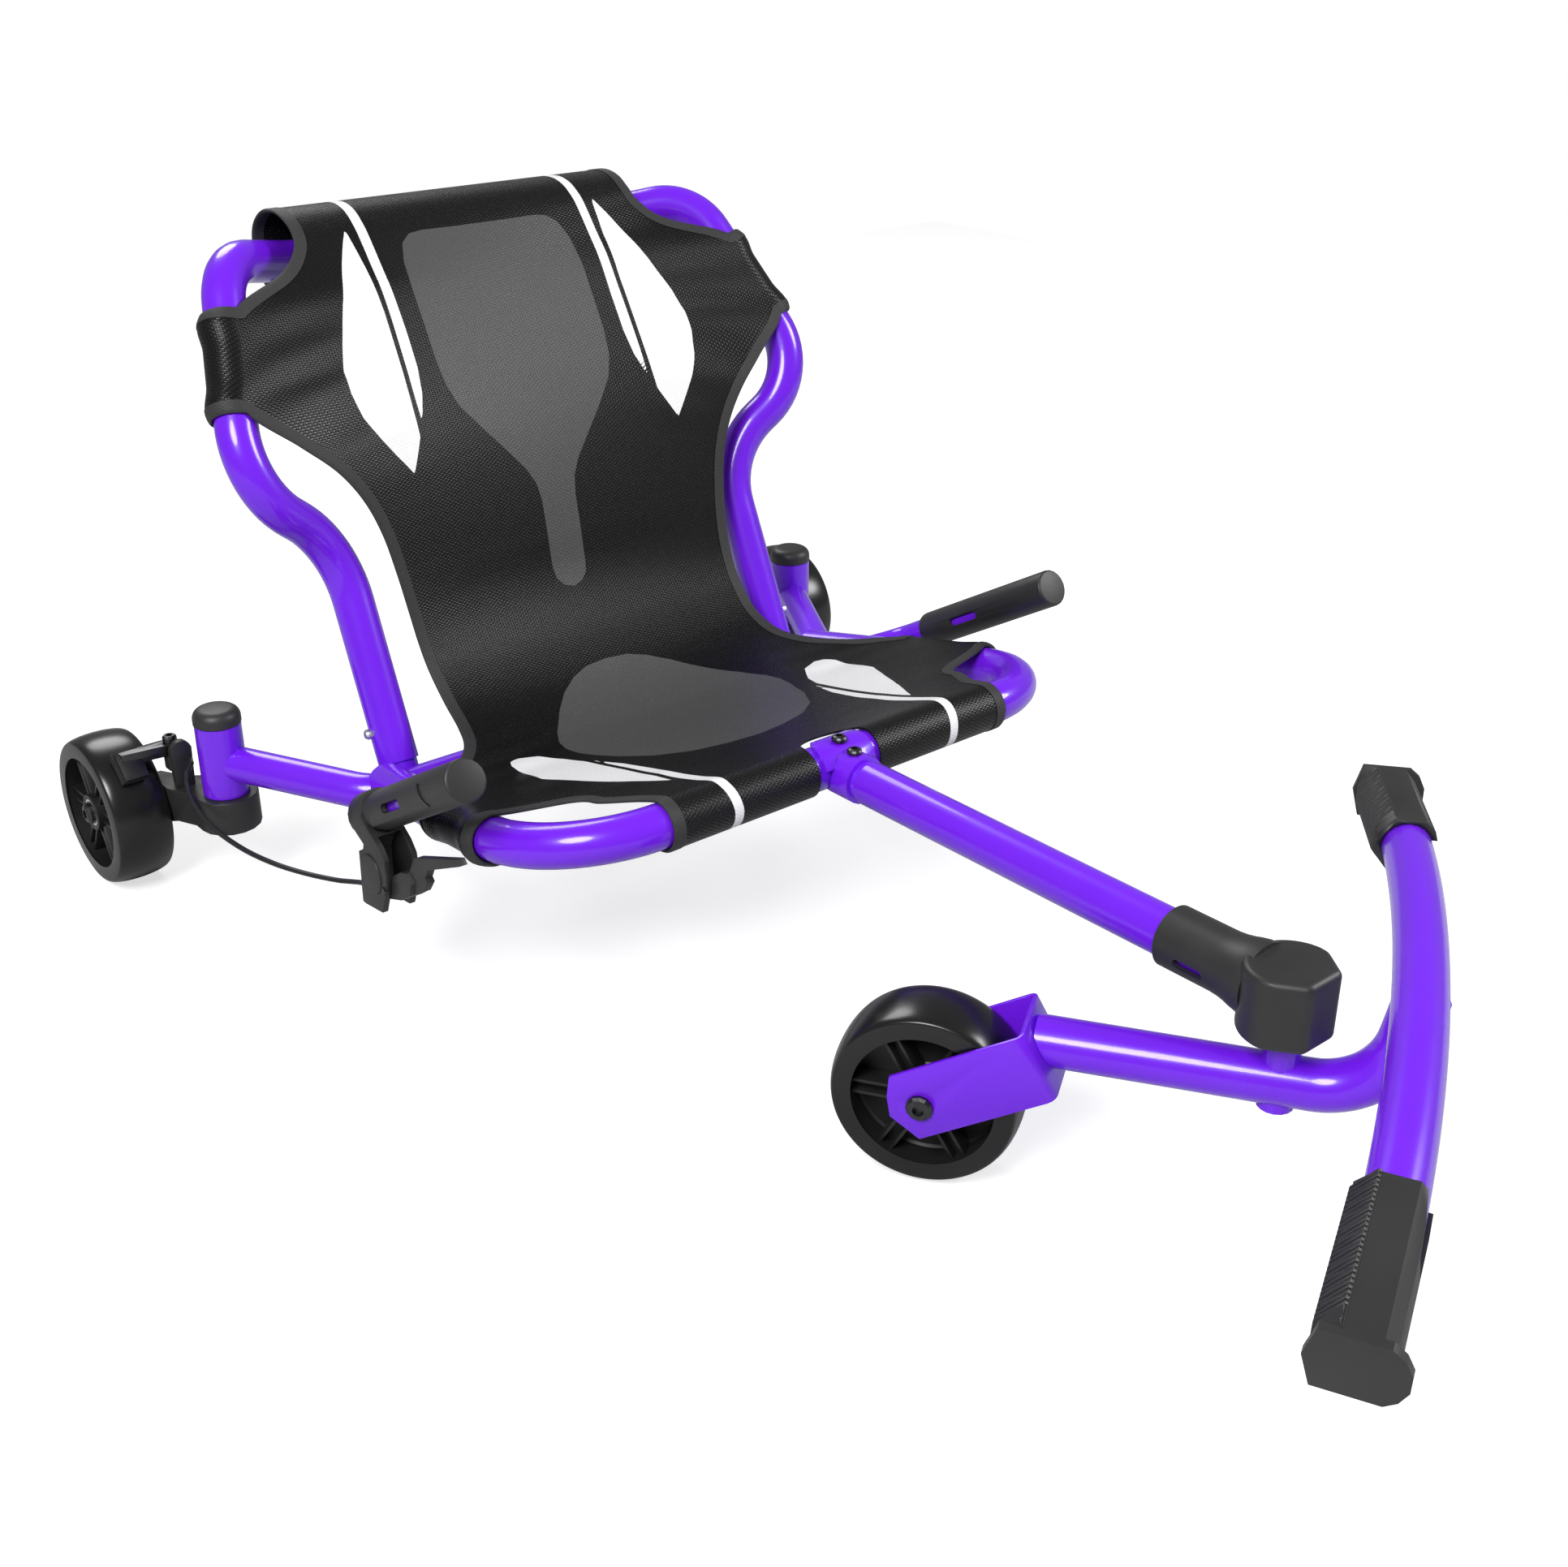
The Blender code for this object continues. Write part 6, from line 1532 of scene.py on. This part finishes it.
@dataclass(frozen=True)
class Print:
    """Generic print on the cloth: grey panels and pale flashes, alike on both sides.

    Outlines are (across, along) in metres; the along distance starts under the front roll.

    Args:
        panels: The grey panels.
        flashes: The pale leaves.
        stripes: The pale stripes.
        margin: How far round an outline its mask is worked out.
        softness: Distance over which a mask rises from 0 to 1.
    """

    panels: tuple[Points2D, ...] = (tenths(
        -200, 4130, 0, 4130, 80, 4155, 140, 4220, 156, 4320, 158, 4850, 180, 4990, 250, 5125, 550, 5500,
        690, 5690, 755, 5860, 775, 6060, 775, 6600, 755, 6810, 705, 6960, 620, 7035, 500, 7055, -200, 7060,
    ), tenths(
        -200, 1475, 0, 1478, 250, 1515, 520, 1600, 740, 1770, 900, 2030, 1010, 2330, 1030, 2480, 1000, 2620,
        900, 2790, 680, 3095, 520, 3275, 360, 3395, 200, 3465, 0, 3485, -200, 3485))
    flashes: tuple[Points2D, ...] = (tenths(
        1115, 7114, 1080, 6780, 1072, 6450, 1085, 6000, 1105, 5540, 1235, 5279, 1440, 5590, 1530, 5760,
        1568, 5920, 1565, 6080, 1510, 6250, 1390, 6540, 1240, 6850,
    ), tenths(
        1550, 2400, 1510, 2480, 1430, 2515, 1280, 2470, 1165, 2290, 1110, 2119, 1090, 1650, 1095, 1250,
        1115, 1030, 1330, 1430, 1575, 1960, 1565, 2200))
    stripes: tuple[Points2D, ...] = (tenths(
        935, 8800, 935, 7650, 948, 7150, 948, 6700, 943, 6300, 950, 6020, 980, 5830, 1053, 5640, 1052, 5800,
        1043, 6050, 1032, 6400, 1028, 6800, 1028, 7150, 1015, 7650, 1015, 8800,
    ), tenths(
        955, -200, 955, 350, 985, 550, 990, 800, 968, 1150, 965, 1500, 990, 1800, 1065, 2100, 1045, 1650,
        1045, 1300, 1065, 1000, 1075, 780, 1062, 550, 1030, 350, 1030, -200))
    margin: float = 0.01
    softness: float = 0.02

    @staticmethod
    def signed(points: Points2D, x: float, v: float) -> float:
        """Distance inside an outline, negative outside.

        Args:
            points: The outline's corners.
            x: Across in metres.
            v: Along in metres.

        Returns:
            The distance in metres.
        """
        inside = False
        nearest = 1.0
        for (x1, v1), (x2, v2) in zip(points, [*points[1:], points[0]]):
            if (v1 > v) != (v2 > v) and x < (x2 - x1) * (v - v1) / (v2 - v1) + x1:
                inside = not inside
            dx, dv = x2 - x1, v2 - v1
            share = max(0.0, min(1.0, ((x - x1) * dx + (v - v1) * dv) / max(dx * dx + dv * dv, 1e-12)))
            nearest = min(nearest, math.hypot(x - x1 - dx * share, v - v1 - dv * share))
        return nearest if inside else -nearest

    def mask(self, outlines: Sequence[Points2D], x: float, v: float) -> float:
        """Highest mask of some outlines at a place on the cloth.

        Args:
            outlines: The outlines.
            x: Across in metres, to either side.
            v: Along in metres.

        Returns:
            The mask, from 0 to 1 and over 0.5 inside.
        """
        best = 0.0
        for outline in outlines:
            across, along = zip(*outline)
            if (min(along) - self.margin < v < max(along) + self.margin
                    and abs(x) < max(across) + self.margin):
                best = max(best, min(1.0, 0.5 + self.signed(outline, abs(x), v) / self.softness))
        return best

    def masks(self, x: float, v: float) -> list[float]:
        """Masks of the print at a place on the cloth, in the order of INKS."""
        return [self.mask(outlines, x, v) for outlines in (self.panels, self.flashes, self.stripes)]


@dataclass(frozen=True)
class Lamp:
    """A round soft light.

    Args:
        name: The light's name.
        place: Where it hangs.
        size: Its diameter.
        power: Its power in watts.
    """

    name: str
    place: tuple[float, float, float]
    size: float
    power: float

    def build(self, target: Vector) -> None:
        """Hang the light.

        Args:
            target: The point that it faces.
        """
        light = bpy.data.lights.new(self.name, "AREA")
        light.shape = "DISK"
        light.size = self.size
        light.energy = self.power
        lamp = linked(self.name, light)
        lamp.location = self.place
        lamp.rotation_euler = (target - Vector(self.place)).to_track_quat("-Z", "Y").to_euler()


@dataclass
class Studio:
    """Pale floor, soft lights and the camera."""

    floor_size: float = 4.4
    floor_grey: float = 0.50
    floor_glow: float = 0.66
    world_light: float = 0.24
    target: Vector = field(default_factory=lambda: Vector((0.0, 0.0, 0.2)))
    lamps: tuple[Lamp, ...] = (
        Lamp("key", (-2.0, -0.9, 2.2), 1.3, 88.0), Lamp("fill", (2.2, -1.4, 1.8), 1.1, 54.0),
        Lamp("rear", (0.4, 2.4, 2.2), 1.4, 34.0))
    camera_place: tuple[float, float, float] = (-0.8053, -0.8650, 0.7432)
    azimuth: float = math.radians(-40.05)
    elevation: float = math.radians(26.20)
    lens: float = 44.078

    def floor(self) -> None:
        """Pale floor, which the camera alone sees a little brighter."""
        floor = primitive(bpy.ops.mesh.primitive_plane_add, "studio_floor", Vector((0.0, 0.0, -0.0006)),
                          size=self.floor_size)
        shade = Shade("studio floor").set(roughness=0.9, base_color=(*([self.floor_grey] * 3), 1.0))
        tree, plain = shade.tree, shade.shader.outputs[0]
        glow = add_node(tree, "Emission", strength=self.floor_glow)
        add = tree.nodes.new("ShaderNodeAddShader")
        mixer = tree.nodes.new("ShaderNodeMixShader")
        seen = tree.nodes.new("ShaderNodeLightPath").outputs["Is Camera Ray"]
        for node, sources in ((add, (plain, glow.outputs[0])), (mixer, (seen, plain, add.outputs[0]))):
            for socket, source in zip(node.inputs, sources):
                put(tree, socket, source)
        put(tree, tree.nodes["Material Output"].inputs["Surface"], mixer.outputs[0])
        floor.data.materials.append(shade.material)

    def world(self) -> None:
        """Plain world, white where the camera sees it and dimmer as a light."""
        world = bpy.data.worlds.new("studio")
        bpy.context.scene.world = world
        world.use_nodes = True
        backdrop = world.node_tree.nodes["Background"]
        backdrop.inputs["Color"].default_value = (1.0, 1.0, 1.0, 1.0)
        seen = add_node(world.node_tree, "LightPath").outputs["Is Camera Ray"]
        level = add_node(world.node_tree, "MapRange", to_min=self.world_light, to_max=1.0, value=seen)
        put(world.node_tree, backdrop.inputs["Strength"], level.outputs[0])

    def camera(self) -> None:
        """Camera at the photo's place and angle."""
        data = bpy.data.cameras.new("photo_camera")
        data.lens = self.lens
        data.sensor_width = 36.0
        data.clip_start = 0.02
        camera = linked("photo_camera", data)
        level = math.cos(self.elevation)
        look = Vector((-math.sin(self.azimuth) * level, math.cos(self.azimuth) * level,
                       -math.sin(self.elevation)))
        camera.location = self.camera_place
        camera.rotation_euler = look.to_track_quat("-Z", "Y").to_euler()
        bpy.context.scene.camera = camera

    def build(self) -> None:
        """Set the stage, the lights, the world and the camera."""
        self.floor()
        self.world()
        for lamp in self.lamps:
            lamp.build(self.target)
        self.camera()
        bpy.context.scene.view_settings.view_transform = "Standard"


def dress_solids() -> None:
    """Give every solid that stays in view its finish."""
    special = {"brake_pad": PAD_RUBBER, "lever_pin": DARK_STEEL, "brake_pivot_bolt": DARK_STEEL}
    slots = {entry["node"]: entry["material_slot"] for entry in frame["record"]["subparts"]}
    for name, node in frame["nodes"].items():
        node.data.materials.clear()
        node.data.materials.append(special.get(name, SLOT_FINISH[slots[name]]).material)


def main() -> None:
    """Build the pieces in order and report each."""
    logging.basicConfig(level=logging.INFO, format="%(message)s")
    Studio().build()
    dress_solids()
    for maker in (Tubes(), Wheels(), Mouldings(), Sling()):
        maker.build()
        log.info("built %s", type(maker).__name__)


if __name__ == "__main__":
    main()
